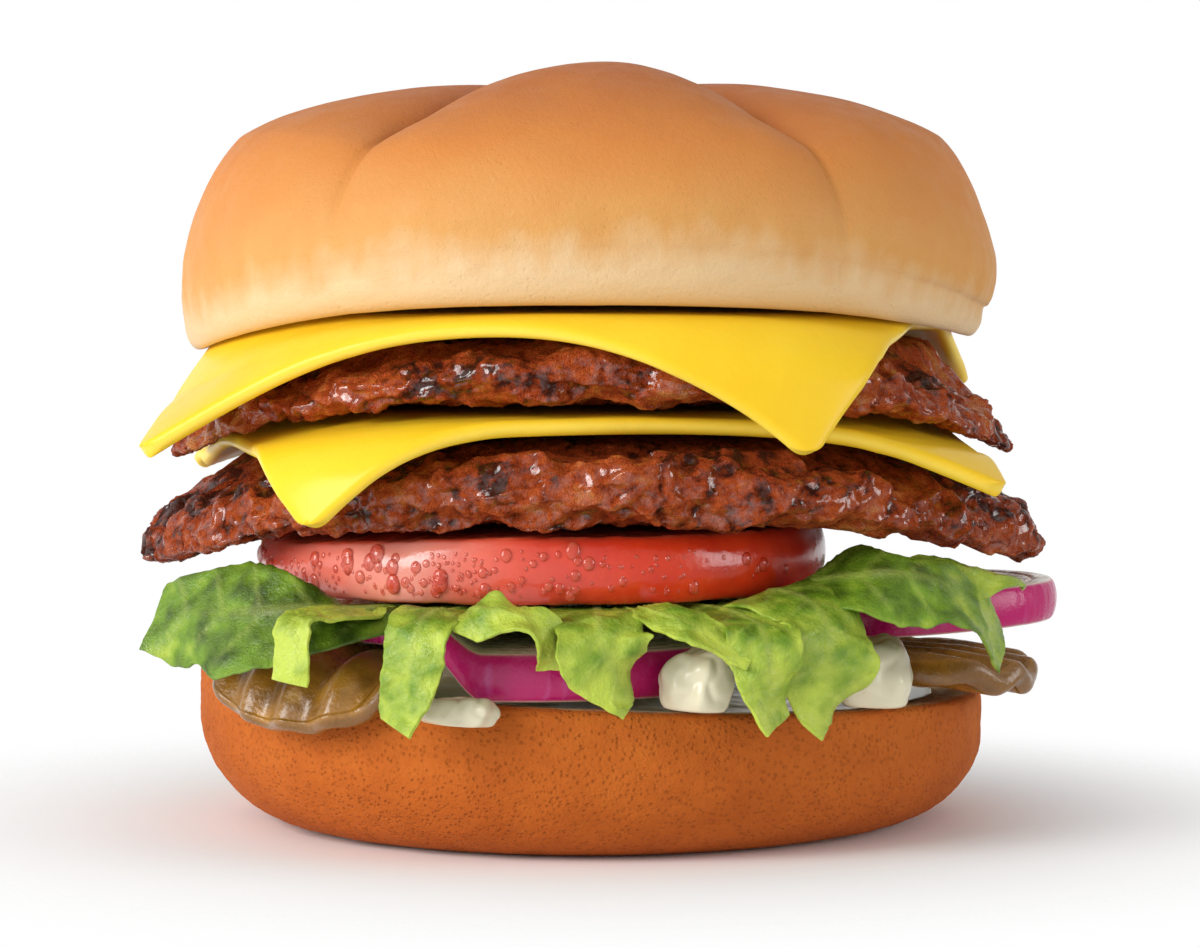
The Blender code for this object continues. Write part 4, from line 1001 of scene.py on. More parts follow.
def leaf_surface(leaf, crinkle, seed, tone):
    """A lettuce leaf: its cupped, waving sheet with a raised rib, side veins that leave it at a slant, crinkles
    between them, and a nibbled edge. Its body is thickest at the rib."""
    along = steps_with_border(62, LEAF_END)
    across = steps_with_border(26, LEAF_SIDE)
    u, v = np.meshgrid(along, across, indexing="ij")
    share = (u + 1.0) / 2.0
    flat = np.stack([u, v, np.zeros_like(u)], axis=2)
    nibble = over(np.stack([share * 40.0 * MM, np.sign(v) * 30.0 * MM, 0.0 * u], axis=2),
                  lambda p: rough_grain(p, 4.5 * MM, seed, 3))
    flat[:, :, 1] = v * (1.0 - 0.10 * (np.abs(v) ** 3) * (1.0 + nibble) * ease(0.2, 0.5, share))
    sheet = shaped(flat, leaf_shape(leaf))
    face = normals(sheet, False)
    slant = share * 7.0 - np.abs(v) * 0.9
    vein = np.maximum(ease(0.16, 0.0, np.abs(v)) * ease(1.0, 0.3, share),
                      0.6 * ease(0.12, 0.0, np.abs(slant - np.round(slant))) * ease(1.0, 0.5, np.abs(v)))
    creases = over(sheet, lambda p: rough_grain(p, 3.0 * MM, seed + 1, 3))
    bend = crinkle * ease(0.25, 0.5, share) * creases
    half = LEAF_THICKNESS / 2.0
    swell = np.minimum.outer(border_round(along, LEAF_END), border_round(across, LEAF_SIDE)) * (0.55 + 0.45 * vein)
    middle = sheet + face * (bend * 0.6)[:, :, None]
    top = middle + face * (half * swell)[:, :, None]
    bottom = middle - face * (half * swell)[:, :, None]
    rim = ease(0.55, 1.0, np.maximum(np.abs(v), share))
    values = {"vein": sheet_values(vein), "rim": sheet_values(rim), "share": sheet_values(share),
              "crease": sheet_values(creases), "leaf": sheet_values(np.full_like(u, tone))}
    return closed_sheet(top, bottom), values


def ruffled_layer(level, reach, seed):
    """One leaf layer of the heap's body, seen edge on from behind: a round sheet whose rim waves up and down."""
    template = round_template(slab_profile(np.linspace(0.0, 0.97, 12), 4, 0.03), 130)
    radius, turn = polar(template)
    ring = ring_at(turn, 22.0 * MM)
    wave = over(ring, lambda p: rough_grain(p, 6.0 * MM, seed, 3))
    edge = 1.0 + 0.05 * over(ring, lambda p: rough_grain(p, 9.0 * MM, seed + 1, 3))
    x = FILL_CENTRE[0] + FILL_RADIUS[0] * reach * edge * template[:, :, 0]
    y = FILL_CENTRE[1] + FILL_RADIUS[1] * reach * edge * template[:, :, 1]
    lift = RELIEF["layer_waves"] * wave * radius ** 3
    z = np.minimum(level + lift + LEAF_THICKNESS / 2.0 * template[:, :, 2], CORE_TOP)
    blank = np.zeros_like(radius)
    values = {"vein": blank, "rim": ease(0.8, 1.0, radius), "share": blank + 0.7, "crease": wave,
              "leaf": blank + (seed * 0.37) % 1.0}
    return closed_round(np.stack([x, y, z], axis=2)), {label: pole_values(value) for label, value in values.items()}


def lettuce_surface(crinkle):
    """All the lettuce as one piece: the leaves, the core, the body behind it, and ruffled layers on that body."""
    surfaces, values = [], []
    for number, (name, leaf) in enumerate({**LEAVES, **back_leaves()}.items()):
        seed = LEAF_SEED + LEAF_SEED_STEP * number
        surface, value = leaf_surface(leaf, crinkle, seed, LEAF_TONES.get(name, BACK_LEAF_TONE))
        surfaces.append(surface)
        values.append(value)
    for profile, shape in ((slab_profile((0.0, 0.3, 0.6, 0.8), 8, 0.06), core_shape),
                           (slab_profile((0.0, 0.3, 0.6, 0.75), 16, 0.18), fill_shape)):
        grid = shaped(round_template([(r * HEAP_DRAW_IN[0], z * HEAP_DRAW_IN[1]) for r, z in profile], 60),
                      shape)
        surfaces.append(closed_round(grid))
        blank = pole_values(np.zeros(grid.shape[:2]))
        values.append({"vein": blank, "rim": blank, "share": blank + 0.4, "crease": blank, "leaf": blank + 0.5})
    for number, level in enumerate(LAYER_LEVELS):
        surface, value = ruffled_layer(level, LAYER_REACH - LAYER_STEP * number, LAYER_SEED + number)
        surfaces.append(surface)
        values.append(value)
    return join(surfaces), {label: np.concatenate([v[label] for v in values]) for label in values[0]}


def drop_places(count, seed):
    """Where the drops sit on the tomato's skin: points, outward normals and radii, with more small drops than large
    ones, and more of them on the front."""
    draw = np.random.default_rng(seed)
    in_front = draw.normal(-math.pi / 2 - 0.25, 0.55, count * 3 // 4)
    turn = np.concatenate([in_front, draw.uniform(-math.pi, math.pi, count // 4)])
    lift = draw.uniform(-0.72, 0.62, len(turn))
    size = DROP_RADIUS + DROP_RADIUS_SPREAD * draw.uniform(0.0, 1.0, len(turn)) ** 4.0
    bulge = 0.95 + 0.05 * np.sqrt(1.0 - lift ** 2)
    places = tomato_shape(np.stack([bulge * np.cos(turn), bulge * np.sin(turn), lift], axis=1))
    outward = np.stack([np.cos(turn), np.sin(turn), 0.25 * lift], axis=1)
    return places, outward / np.linalg.norm(outward, axis=1)[:, None], size


def drops_surface(count, seed):
    """Water drops: one small dome repeated at every place, each turned to its own normal, flattened, and longer
    downwards, with its foot just inside the skin."""
    places, outward, size = drop_places(count, seed)
    points, quads, triangles = closed_round(round_template(DROP_PROFILE, 14))
    side = np.cross(np.array([0.0, 0.0, 1.0]), outward)
    side /= np.linalg.norm(side, axis=1)[:, None]
    up = np.cross(outward, side)
    stretch = 1.0 + np.random.default_rng(seed + 1).uniform(0.0, 0.45, len(size))
    spread = (side[:, None] * points[None, :, :1] + up[:, None] * points[None, :, 1:2] * stretch[:, None, None]
              + outward[:, None] * points[None, :, 2:] * DROP_FLATNESS)
    every = places[:, None] + spread * size[:, None, None]
    step = (np.arange(len(size)) * len(points))[:, None, None]
    return every.reshape(-1, 3), (quads + step).reshape(-1, 4), (triangles + step).reshape(-1, 3)


def paint(red, green, blue):
    """A colour named by its screen values from 0 to 255, as the linear values that a shader takes."""
    screen = np.array([red, green, blue]) / 255.0
    linear = np.where(screen <= 0.04045, screen / 12.92, ((screen + 0.055) / 1.055) ** 2.4)
    return tuple(float(value) for value in linear)


def add_node(tree, kind, inputs=None, **settings):
    """Adds a shader node, sets its settings, and sets or links its inputs by name or number."""
    node = tree.nodes.new(kind)
    for name, value in settings.items():
        setattr(node, name, value)
    for name, value in (inputs or {}).items():
        if isinstance(value, bpy.types.NodeSocket):
            tree.links.new(value, node.inputs[name])
        else:
            node.inputs[name].default_value = value
    return node


def shader_group(name, inputs, outputs):
    """An empty shader node group with named inputs (kind and default) and outputs, and its two end nodes."""
    group = bpy.data.node_groups.new(name, "ShaderNodeTree")
    for label, (kind, value) in inputs.items():
        socket = group.interface.new_socket(label, in_out="INPUT", socket_type=kind)
        socket.default_value = value
    for label, kind in outputs.items():
        group.interface.new_socket(label, in_out="OUTPUT", socket_type=kind)
    return group, group.nodes.new("NodeGroupInput").outputs, group.nodes.new("NodeGroupOutput").inputs


def place_noise(group, scale, detail, roughness=0.55):
    """Noise on Object coordinates, with its scale in cycles for each metre."""
    coords = add_node(group, "ShaderNodeTexCoord")
    return add_node(group, "ShaderNodeTexNoise", {"Vector": coords.outputs["Object"], "Scale": scale,
                                                  "Detail": detail, "Roughness": roughness})


def arithmetic(tree, operation, first, second):
    """One sum, difference or product of two sockets or numbers."""
    return add_node(tree, "ShaderNodeMath", {0: first, 1: second}, operation=operation).outputs[0]


def mottle_group():
    """Mottle: two colours mixed in soft patches, for every food whose colour wanders."""
    if "Mottle" in bpy.data.node_groups:
        return bpy.data.node_groups["Mottle"]
    group, given, result = shader_group(
        "Mottle", {"Colour A": ("NodeSocketColor", (1, 1, 1, 1)), "Colour B": ("NodeSocketColor", (0, 0, 0, 1)),
                   "Patches": ("NodeSocketFloat", 120.0), "Amount": ("NodeSocketFloat", 1.0)},
        {"Colour": "NodeSocketColor", "Mask": "NodeSocketFloat"})
    noise = place_noise(group, given["Patches"], 5.0)
    mask = add_node(group, "ShaderNodeMapRange", {"Value": noise.outputs["Fac"], "From Min": 0.36, "From Max": 0.64})
    share = arithmetic(group, "MULTIPLY", mask.outputs["Result"], given["Amount"])
    mixed = mix_colour(group, share, given["Colour A"], given["Colour B"])
    group.links.new(mixed, result["Colour"])
    group.links.new(mask.outputs["Result"], result["Mask"])
    return group


def mix_colour(tree, factor, first, second, blend="MIX"):
    """Mixes two colours, each a socket or three numbers, by a socket's factor, and gives the result's socket."""
    node = tree.nodes.new("ShaderNodeMix")
    node.data_type, node.blend_type = "RGBA", blend
    for socket, value in ((node.inputs[0], factor), (node.inputs[6], first), (node.inputs[7], second)):
        if isinstance(value, bpy.types.NodeSocket):
            tree.links.new(value, socket)
        else:
            socket.default_value = (*value, 1.0)
    return node.outputs[2]


def wet_group():
    """Wet sheen: a roughness that drops in small patches where juice or grease lies."""
    if "Wet sheen" in bpy.data.node_groups:
        return bpy.data.node_groups["Wet sheen"]
    group, given, result = shader_group(
        "Wet sheen", {"Wet": ("NodeSocketFloat", 0.15), "Dry": ("NodeSocketFloat", 0.5),
                      "Patches": ("NodeSocketFloat", 300.0), "Share": ("NodeSocketFloat", 0.5)},
        {"Roughness": "NodeSocketFloat", "Wetness": "NodeSocketFloat"})
    noise = place_noise(group, given["Patches"], 4.0, 0.6)
    low = arithmetic(group, "SUBTRACT", given["Share"], 0.12)
    high = arithmetic(group, "ADD", given["Share"], 0.12)
    wetness = add_node(group, "ShaderNodeMapRange", {"Value": noise.outputs["Fac"], "From Min": high,
                                                     "From Max": low})
    rough = add_node(group, "ShaderNodeMapRange", {"Value": wetness.outputs["Result"], "To Min": given["Dry"],
                                                   "To Max": given["Wet"]})
    group.links.new(rough.outputs["Result"], result["Roughness"])
    group.links.new(wetness.outputs["Result"], result["Wetness"])
    return group


def skin_group():
    """Fine skin: a height made of fine and finer noise, for every food's close-up relief."""
    if "Fine skin" in bpy.data.node_groups:
        return bpy.data.node_groups["Fine skin"]
    group, given, result = shader_group(
        "Fine skin", {"Grain": ("NodeSocketFloat", 900.0), "Finer": ("NodeSocketFloat", 0.4)},
        {"Height": "NodeSocketFloat"})
    coarse = place_noise(group, given["Grain"], 4.0, 0.6)
    fine = place_noise(group, arithmetic(group, "MULTIPLY", given["Grain"], 3.7), 3.0, 0.6)
    part = arithmetic(group, "MULTIPLY", fine.outputs["Fac"], given["Finer"])
    group.links.new(arithmetic(group, "ADD", coarse.outputs["Fac"], part), result["Height"])
    return group


def pore_group():
    """Crust pores: small round pits of uneven depth, thinned out by patches of closed crust."""
    if "Crust pores" in bpy.data.node_groups:
        return bpy.data.node_groups["Crust pores"]
    group, given, result = shader_group(
        "Crust pores", {"Pores": ("NodeSocketFloat", 900.0), "Width": ("NodeSocketFloat", 0.38),
                        "Open": ("NodeSocketFloat", 0.5)},
        {"Pit": "NodeSocketFloat"})
    coords = add_node(group, "ShaderNodeTexCoord")
    cells = add_node(group, "ShaderNodeTexVoronoi", {"Vector": coords.outputs["Object"], "Scale": given["Pores"]})
    pit = add_node(group, "ShaderNodeMapRange", {"Value": cells.outputs["Distance"], "From Min": given["Width"],
                                                 "From Max": 0.0})
    open_noise = place_noise(group, 260.0, 3.0)
    low = arithmetic(group, "SUBTRACT", given["Open"], 0.14)
    keep = add_node(group, "ShaderNodeMapRange", {"Value": open_noise.outputs["Fac"], "From Min": low,
                                                  "From Max": given["Open"]})
    group.links.new(arithmetic(group, "MULTIPLY", pit.outputs["Result"], keep.outputs["Result"]), result["Pit"])
    return group


def use_group(tree, group, **inputs):
    """Places a shader group in a tree with numbers and colours for its inputs, whose names have their spaces written
    as underscores."""
    node = add_node(tree, "ShaderNodeGroup", node_tree=group)
    for name, value in inputs.items():
        node.inputs[name.replace("_", " ")].default_value = (*value, 1.0) if isinstance(value, tuple) else value
    return node.outputs


def value_of(tree, name):
    """A value that the piece carries as an attribute."""
    return add_node(tree, "ShaderNodeAttribute", attribute_name=name).outputs["Fac"]


def ramp(tree, factor, stops):
    """A colour ramp through the stops, each a place and a colour."""
    node = add_node(tree, "ShaderNodeValToRGB", {"Fac": factor})
    while len(node.color_ramp.elements) < len(stops):
        node.color_ramp.elements.new(0.5)
    for element, (place, colour) in zip(node.color_ramp.elements, stops):
        element.position = place
        element.color = (*colour, 1.0)
    return node.outputs["Color"]


def sums(tree, *terms):
    """The sum of sockets, each times its number."""
    total = None
    for socket, by in terms:
        part = arithmetic(tree, "MULTIPLY", socket, by)
        total = part if total is None else arithmetic(tree, "ADD", total, part)
    return total


def mottled(tree, first, second, patches, amount=1.0):
    """Two colours mixed in soft patches, amount being the most of the second."""
    return use_group(tree, mottle_group(), Colour_A=tuple(first), Colour_B=tuple(second), Patches=patches,
                     Amount=amount)["Colour"]


def patches_of(tree, scale):
    """The mask of soft patches alone, from 0 to 1."""
    return use_group(tree, mottle_group(), Patches=scale)["Mask"]


def sheen(tree, wet, dry, patches, share=0.5):
    """A roughness that is wet in patches and dry between them."""
    return use_group(tree, wet_group(), Wet=wet, Dry=dry, Patches=patches, Share=share)["Roughness"]


def skin_height(tree, grain_scale, finer):
    """The height of a food's close-up relief."""
    return use_group(tree, skin_group(), Grain=grain_scale, Finer=finer)["Height"]


def palette(*stops):
    """Ramp stops from places and panel colours."""
    return tuple((place, tuple(colour)) for place, colour in stops)


def set_sockets(shader, **sockets):
    """Sets a shader's inputs; an input's name has its spaces written as underscores."""
    for name, value in sockets.items():
        shader.inputs[name.replace("_", " ")].default_value = value


def food_material(name, colour, roughness, height, depth, **sockets):
    """Fills in a food's material: colour, roughness and a bump of the depth in metres reach the shader's inputs, and
    the other values are set on its own sockets."""
    tree = colour.id_data
    shader = tree.nodes["Principled BSDF"]
    tree.links.new(colour, shader.inputs["Base Color"])
    if isinstance(roughness, bpy.types.NodeSocket):
        tree.links.new(roughness, shader.inputs["Roughness"])
    else:
        shader.inputs["Roughness"].default_value = roughness
    bump = add_node(tree, "ShaderNodeBump", {"Strength": 1.0, "Distance": depth, "Height": height})
    tree.links.new(bump.outputs["Normal"], shader.inputs["Normal"])
    set_sockets(shader, **sockets)
    return bpy.data.materials[name]


def new_tree(name):
    """The node tree of a new material."""
    made = bpy.data.materials.new(name)
    made.use_nodes = True
    return made.node_tree


def crown_material(bun):
    """Baked crown: cream at the rim, then gold, then brown on top, mottled, with fine pores darkened by painted shade
    and a pale cut face.
    """
    tree = new_tree("crown_crust")
    bake = sums(tree, (value_of(tree, "bake"), 1.0), (patches_of(tree, 160.0), 0.05))
    crust = ramp(tree, bake, palette((0.10, bun.cream), (0.33, bun.gold), (0.66, bun.crust), (0.98, bun.brown)))
    pit = use_group(tree, pore_group(), Pores=1100.0, Width=0.30, Open=0.52)["Pit"]
    # Painted shade: the crust darkens a little in its pores.
    crust = mix_colour(tree, sums(tree, (pit, 0.07)), crust, tuple(c * 0.62 for c in bun.crust))
    crumb = mottled(tree, bun.crumb, bun.gold, 420.0, 0.6)
    colour = mix_colour(tree, value_of(tree, "cut"), crust, crumb)
    rough = sheen(tree, 0.48, 0.64, 240.0)
    height = sums(tree, (skin_height(tree, 1400.0, 0.5), 0.5), (pit, -0.2))
    return food_material("crown_crust", colour, rough, height, 0.00022, Subsurface_Weight=0.08,
                         Subsurface_Radius=(0.004, 0.002, 0.001), Specular_IOR_Level=0.22)


def heel_material(bun):
    """Baked heel: an even orange-brown crust full of fine pores darkened by painted shade, with a toasted cut face.
    """
    tree = new_tree("heel_crust")
    bake = sums(tree, (value_of(tree, "bake"), 1.0), (patches_of(tree, 210.0), 0.16),
                (value_of(tree, "streak"), 0.05))
    crust = ramp(tree, bake, palette((0.15, bun.heel_light), (0.55, bun.heel), (0.95, bun.heel_dark)))
    pit = use_group(tree, pore_group(), Pores=1500.0, Width=0.42, Open=0.44)["Pit"]
    # Painted shade: the crust darkens in its pores.
    crust = mix_colour(tree, sums(tree, (pit, 0.34)), crust, tuple(c * 0.55 for c in bun.heel_dark))
    crumb = mottled(tree, bun.crumb, bun.crust, 380.0, 0.8)
    colour = mix_colour(tree, value_of(tree, "cut"), crust, crumb)
    height = sums(tree, (skin_height(tree, 900.0, 0.6), 0.9), (pit, -0.7))
    return food_material("heel_crust", colour, 0.72, height, 0.00030, Specular_IOR_Level=0.12)


def patty_material(meat):
    """Grilled mince: nearly black with painted shade in the crevices, brown to tan on the clumps, rust where juice
    shows, and greasy.
    """
    tree = new_tree("grilled_mince")
    # Painted shade: the crevices pull the tone down to the char colour. The drift term also carries the upper patty's
    # painted light.
    tone = sums(tree, (value_of(tree, "shade"), 0.50), (value_of(tree, "drift"), 0.45),
                (patches_of(tree, 700.0), 0.35), (value_of(tree, "crevice"), -0.55))
    colour = ramp(tree, tone, palette((0.0, meat.char), (0.28, meat.brown), (0.62, meat.rust), (0.95, meat.tan)))
    colour = mix_colour(tree, sums(tree, (patches_of(tree, 1900.0), 0.16)), colour, tuple(meat.char), "MULTIPLY")
    glint = use_group(tree, wet_group(), Patches=820.0, Share=0.46)["Wetness"]
    tree.links.new(glint, tree.nodes["Principled BSDF"].inputs["Coat Weight"])
    return food_material("grilled_mince", colour, 0.60, skin_height(tree, 1000.0, 0.8), 0.0013,
                         Specular_IOR_Level=0.07, Coat_Roughness=0.08, Coat_IOR=1.8)


def cheese_material(cheese):
    """Processed cheese: one warm yellow, with a painted highlight on its rounded edges, waxy and slightly
    see-through.
    """
    tree = new_tree("cheese_slice")
    colour = mottled(tree, cheese.yellow, cheese.deep, 60.0, 0.7)
    # Painted highlight: the rounded edge is mixed towards the pale edge colour.
    colour = mix_colour(tree, sums(tree, (value_of(tree, "rim"), 0.6)), colour, tuple(cheese.edge))
    tree.links.new(sums(tree, (value_of(tree, "gloss"), 0.35)), tree.nodes["Principled BSDF"].inputs["Coat Weight"])
    return food_material("cheese_slice", colour, sheen(tree, 0.36, 0.50, 130.0), skin_height(tree, 500.0, 0.3),
                         0.00008, Subsurface_Weight=0.20, Subsurface_Radius=(0.004, 0.0022, 0.0006),
                         Specular_IOR_Level=0.06, Coat_Roughness=0.25)


def tomato_material(salad):
    """Tomato: a glossy red skin with faint streaks and a painted highlight, and paler, wetter flesh on its cut faces.
    """
    tree = new_tree("tomato_slice")
    skin_colour = mottled(tree, salad.tomato, salad.tomato_deep, 120.0, 0.8)
    flesh = mottled(tree, salad.tomato_flesh, salad.tomato, 260.0, 0.7)
    # Painted highlight: the skin turns pale pink round the bearing.
    skin_colour = mix_colour(tree, sums(tree, (value_of(tree, "mist"), 0.50)), skin_colour, tuple(salad.tomato_mist))
    colour = mix_colour(tree, value_of(tree, "skin"), flesh, skin_colour)
    return food_material("tomato_slice", colour, sheen(tree, 0.10, 0.22, 200.0), skin_height(tree, 650.0, 0.3),
                         0.00010, Specular_IOR_Level=0.4, Coat_Weight=0.4, Coat_Roughness=0.08,
                         Subsurface_Weight=0.08, Subsurface_Radius=(0.003, 0.0008, 0.0004))


def onion_material(salad):
    """Red onion: magenta skin lined up and down, and white flesh with a purple line between its layers."""
    tree = new_tree("red_onion")
    streaks = sums(tree, (value_of(tree, "line"), 0.7), (patches_of(tree, 90.0), 0.5))
    skin_colour = ramp(tree, streaks, palette((0.0, salad.onion_skin), (0.45, salad.onion_skin),
                                              (0.95, salad.onion_streak)))
    seam = add_node(tree, "ShaderNodeMapRange", {"Value": value_of(tree, "seam"), "From Min": 0.22, "From Max": 0.02})
    flesh = mix_colour(tree, sums(tree, (seam.outputs[0], 0.75)), tuple(salad.onion_flesh), tuple(salad.onion_streak))
    colour = mix_colour(tree, value_of(tree, "skin"), flesh, skin_colour)
    return food_material("red_onion", colour, sheen(tree, 0.16, 0.34, 260.0), skin_height(tree, 800.0, 0.4), 0.00010,
                         Specular_IOR_Level=0.5, Subsurface_Weight=0.05, Subsurface_Radius=(0.002, 0.001, 0.001))


def gherkin_material(salad):
    """Gherkin: olive-brown wet flesh, paler round its seeds, with a darker skin at the edge."""
    tree = new_tree("gherkin_chip")
    flesh = mottled(tree, salad.gherkin, salad.gherkin_dark, 230.0, 0.9)
    flesh = mix_colour(tree, sums(tree, (value_of(tree, "core"), 0.6)), flesh, tuple(salad.gherkin_light))
    colour = mix_colour(tree, sums(tree, (value_of(tree, "skin"), 0.7)), flesh, tuple(salad.gherkin_dark))
    return food_material("gherkin_chip", colour, sheen(tree, 0.12, 0.36, 300.0, 0.52), skin_height(tree, 700.0, 0.4),
                         0.00022, Specular_IOR_Level=0.55, Coat_Weight=0.4, Coat_Roughness=0.12)


def lettuce_material(salad):
    """Lettuce: bright green blade, with painted shade in its creases and towards the heap, pale at ribs, veins and
    torn edge.
    """
    tree = new_tree("lettuce_leaf")
    # Painted shade: the tone falls in the sunken creases and towards each leaf's root by the heap.
    tone = sums(tree, (value_of(tree, "share"), 0.36), (value_of(tree, "crease"), 0.30),
                (value_of(tree, "leaf"), 0.55), (patches_of(tree, 210.0), 0.22), (value_of(tree, "rim"), 0.12))
    blade = ramp(tree, tone, palette((0.10, salad.leaf_dark), (0.50, salad.leaf), (0.98, salad.leaf_light)))
    colour = mix_colour(tree, sums(tree, (value_of(tree, "vein"), 0.34)), blade, tuple(salad.leaf_rib))
    return food_material("lettuce_leaf", colour, sheen(tree, 0.16, 0.40, 300.0), skin_height(tree, 700.0, 0.4),
                         0.00035, Specular_IOR_Level=0.35, Subsurface_Weight=0.12,
                         Subsurface_Radius=(0.001, 0.002, 0.0005))


def mayonnaise_material(sauce):
    """Mayonnaise: creamy white with a few warmer patches, and a soft shine."""
    tree = new_tree("mayonnaise")
    colour = mottled(tree, sauce.cream, sauce.warm, 180.0, 0.8)
    return food_material("mayonnaise", colour, sheen(tree, 0.32, 0.50, 200.0), skin_height(tree, 450.0, 0.3), 0.00010,
                         Subsurface_Weight=0.25, Subsurface_Radius=(0.003, 0.0025, 0.0015), Specular_IOR_Level=0.4)


def water_material(salad):
    """Water drops: see-through red of the skin under them, with painted shade towards the rim, and a sharp shine."""
    tree = new_tree("water_drops")
    shader = tree.nodes["Principled BSDF"]
    facing = add_node(tree, "ShaderNodeLayerWeight", {"Blend": 0.4}).outputs["Facing"]
    # Painted shade: the drop's colour darkens towards its rim.
    rim = add_node(tree, "ShaderNodeMapRange", {"Value": facing, "From Min": 0.15, "From Max": 0.85}).outputs[0]
    middle = mottled(tree, salad.tomato, salad.tomato_flesh, 500.0)
    tree.links.new(mix_colour(tree, rim, middle, tuple(salad.tomato_deep)), shader.inputs["Base Color"])
    thick = add_node(tree, "ShaderNodeMapRange", {"Value": rim, "To Min": 0.45, "To Max": 0.85}).outputs[0]
    tree.links.new(thick, shader.inputs["Alpha"])
    set_sockets(shader, Roughness=0.04, IOR=1.6, Coat_Weight=1.0, Coat_Roughness=0.03)
    return bpy.data.materials["water_drops"]


def colour_setting(name, description, red, green, blue):
    """A colour that can be changed in the panel, its default named by screen values."""
    return FloatVectorProperty(name=name, description=description, subtype="COLOR", min=0.0, max=1.0,
                               default=paint(red, green, blue))


def length_setting(name, description, metres):
    """A small length that can be changed in the panel."""
    return FloatProperty(name=name, description=description, default=metres, min=0.0, max=0.01, precision=5,
                         subtype="DISTANCE", unit="LENGTH")


class BunSettings(PropertyGroup):
    """Colours and fine relief of the bun."""
    cream: colour_setting("Rim", "Crown crust where it stays pale, just over the cut face", 225, 192, 146)
    gold: colour_setting("Gold", "Crown crust where it turns golden", 213, 155, 86)
    crust: colour_setting("Crust", "Crown crust on the upper side", 210, 132, 64)
    brown: colour_setting("Brown", "Crown crust on top", 182, 104, 52)
    crumb: colour_setting("Crumb", "Cut faces of the bun", 246, 222, 176)
    heel_light: colour_setting("Heel, light", "Lighter patches of the heel's crust", 208, 116, 42)
    heel: colour_setting("Heel", "Heel's crust", 190, 98, 34)
    heel_dark: colour_setting("Heel, dark", "Darker patches of the heel's crust", 170, 82, 27)
    crown_wrinkle: length_setting("Crown wrinkles", "Height of the fine wrinkles round the crown's rim", 0.10 * MM)
    heel_grit: length_setting("Heel grit", "Height of the fine roughness on the heel's wall", 0.07 * MM)


class PattySettings(PropertyGroup):
    """Colours and relief of the minced meat."""
    # Char is also the painted shade in the crevices.
    char: colour_setting("Char", "Meat in the crevices and on charred spots", 82, 34, 18)
    brown: colour_setting("Brown", "Grilled meat", 182, 74, 32)
    rust: colour_setting("Rust", "Redder meat where juice shows", 218, 102, 48)
    tan: colour_setting("Tan", "The palest clumps", 232, 146, 80)
    clump: length_setting("Clump size", "Size of the larger clumps of minced meat", 2.5 * MM)
    depth: length_setting("Crevice depth", "How deep the crevices between clumps are", 1.10 * MM)


class CheeseSettings(PropertyGroup):
    """Colours and dents of the cheese slices."""
    yellow: colour_setting("Yellow", "The slices' colour", 250, 207, 44)
    deep: colour_setting("Deep yellow", "Warmer patches of the slices", 245, 198, 30)
    # The edge colour is a painted highlight on the slices' rounded edges.
    edge: colour_setting("Edge", "The slices' cut edges", 252, 222, 96)
    dents: length_setting("Dents", "Depth of the faint dents in the slices", 0.12 * MM)


class SaladSettings(PropertyGroup):
    """Colours of the tomato, lettuce, onion and gherkin, the leaves' crinkles and the drops."""
    tomato: colour_setting("Tomato", "Tomato skin", 226, 62, 26)
    # Tomato, deep is also the painted shade at the drops' rims.
    tomato_deep: colour_setting("Tomato, deep", "Deeper patches of the skin", 196, 38, 20)
    tomato_flesh: colour_setting("Tomato flesh", "Cut faces of the tomato", 234, 110, 80)
    # The pale skin colour is a painted highlight on the tomato.
    tomato_mist: colour_setting("Tomato mist", "Skin under the finest droplets", 244, 196, 176)
    leaf: colour_setting("Lettuce", "The blade of a leaf", 110, 144, 36)
    # Lettuce, dark is also painted shade in the creases and by the heap.
    leaf_dark: colour_setting("Lettuce, dark", "Creases and the side near the heap", 50, 74, 13)
    leaf_light: colour_setting("Lettuce, light", "The ends of the leaves", 184, 202, 74)
    leaf_rib: colour_setting("Rib", "Ribs and veins", 202, 214, 112)
    onion_skin: colour_setting("Onion skin", "The onion's outer layer", 190, 16, 104)
    onion_streak: colour_setting("Onion streak", "Streaks on the skin and lines in the flesh", 200, 74, 144)
    onion_flesh: colour_setting("Onion flesh", "The onion's cut faces", 238, 226, 206)
    gherkin: colour_setting("Gherkin", "Gherkin flesh", 176, 122, 40)
    gherkin_dark: colour_setting("Gherkin, dark", "Darker patches and skin", 122, 82, 28)
    gherkin_light: colour_setting("Gherkin, light", "Flesh round the seeds", 192, 146, 62)
    crinkle: length_setting("Leaf crinkle", "Height of the crinkles in the leaves", 0.55 * MM)
    drops: IntProperty(name="Drops", description="Number of water drops on the tomato", default=260, min=0, max=800)


class SauceSettings(PropertyGroup):
    """Colours of the mayonnaise."""
    cream: colour_setting("Mayonnaise", "The mayonnaise", 255, 244, 208)
    warm: colour_setting("Mayonnaise, warm", "Warmer patches of the mayonnaise", 250, 230, 178)


class StageSettings(PropertyGroup):
    """The floor's colour and the light."""
    floor: colour_setting("Floor", "The studio floor", 254, 254, 254)
    key: FloatProperty(name="Key light", description="Power of the large light at the left", default=10.0, min=0.0,
                       subtype="POWER", unit="POWER")
    fill: FloatProperty(name="Fill light", description="Power of the soft light at the right", default=3.3, min=0.0,
                        subtype="POWER", unit="POWER")
    sky: FloatProperty(name="Surroundings", description="Brightness of the studio's white walls", default=1.0,
                       min=0.0)


class BURGER_OT_stage(Operator):
    """Makes the floor, the lights, the white surroundings and the camera at the photograph's angle"""
    bl_idname = "burger.stage"
    bl_label = "Stage"

    def execute(self, context):
        stage = context.scene.burger_stage
        add_floor(stage)
        add_surroundings(context.scene, stage)
        add_light("key_light", KEY_PLACE, KEY_WIDTH, stage.key)
        add_light("fill_light", FILL_PLACE, FILL_WIDTH, stage.fill)
        add_camera(context.scene)
        return {"FINISHED"}


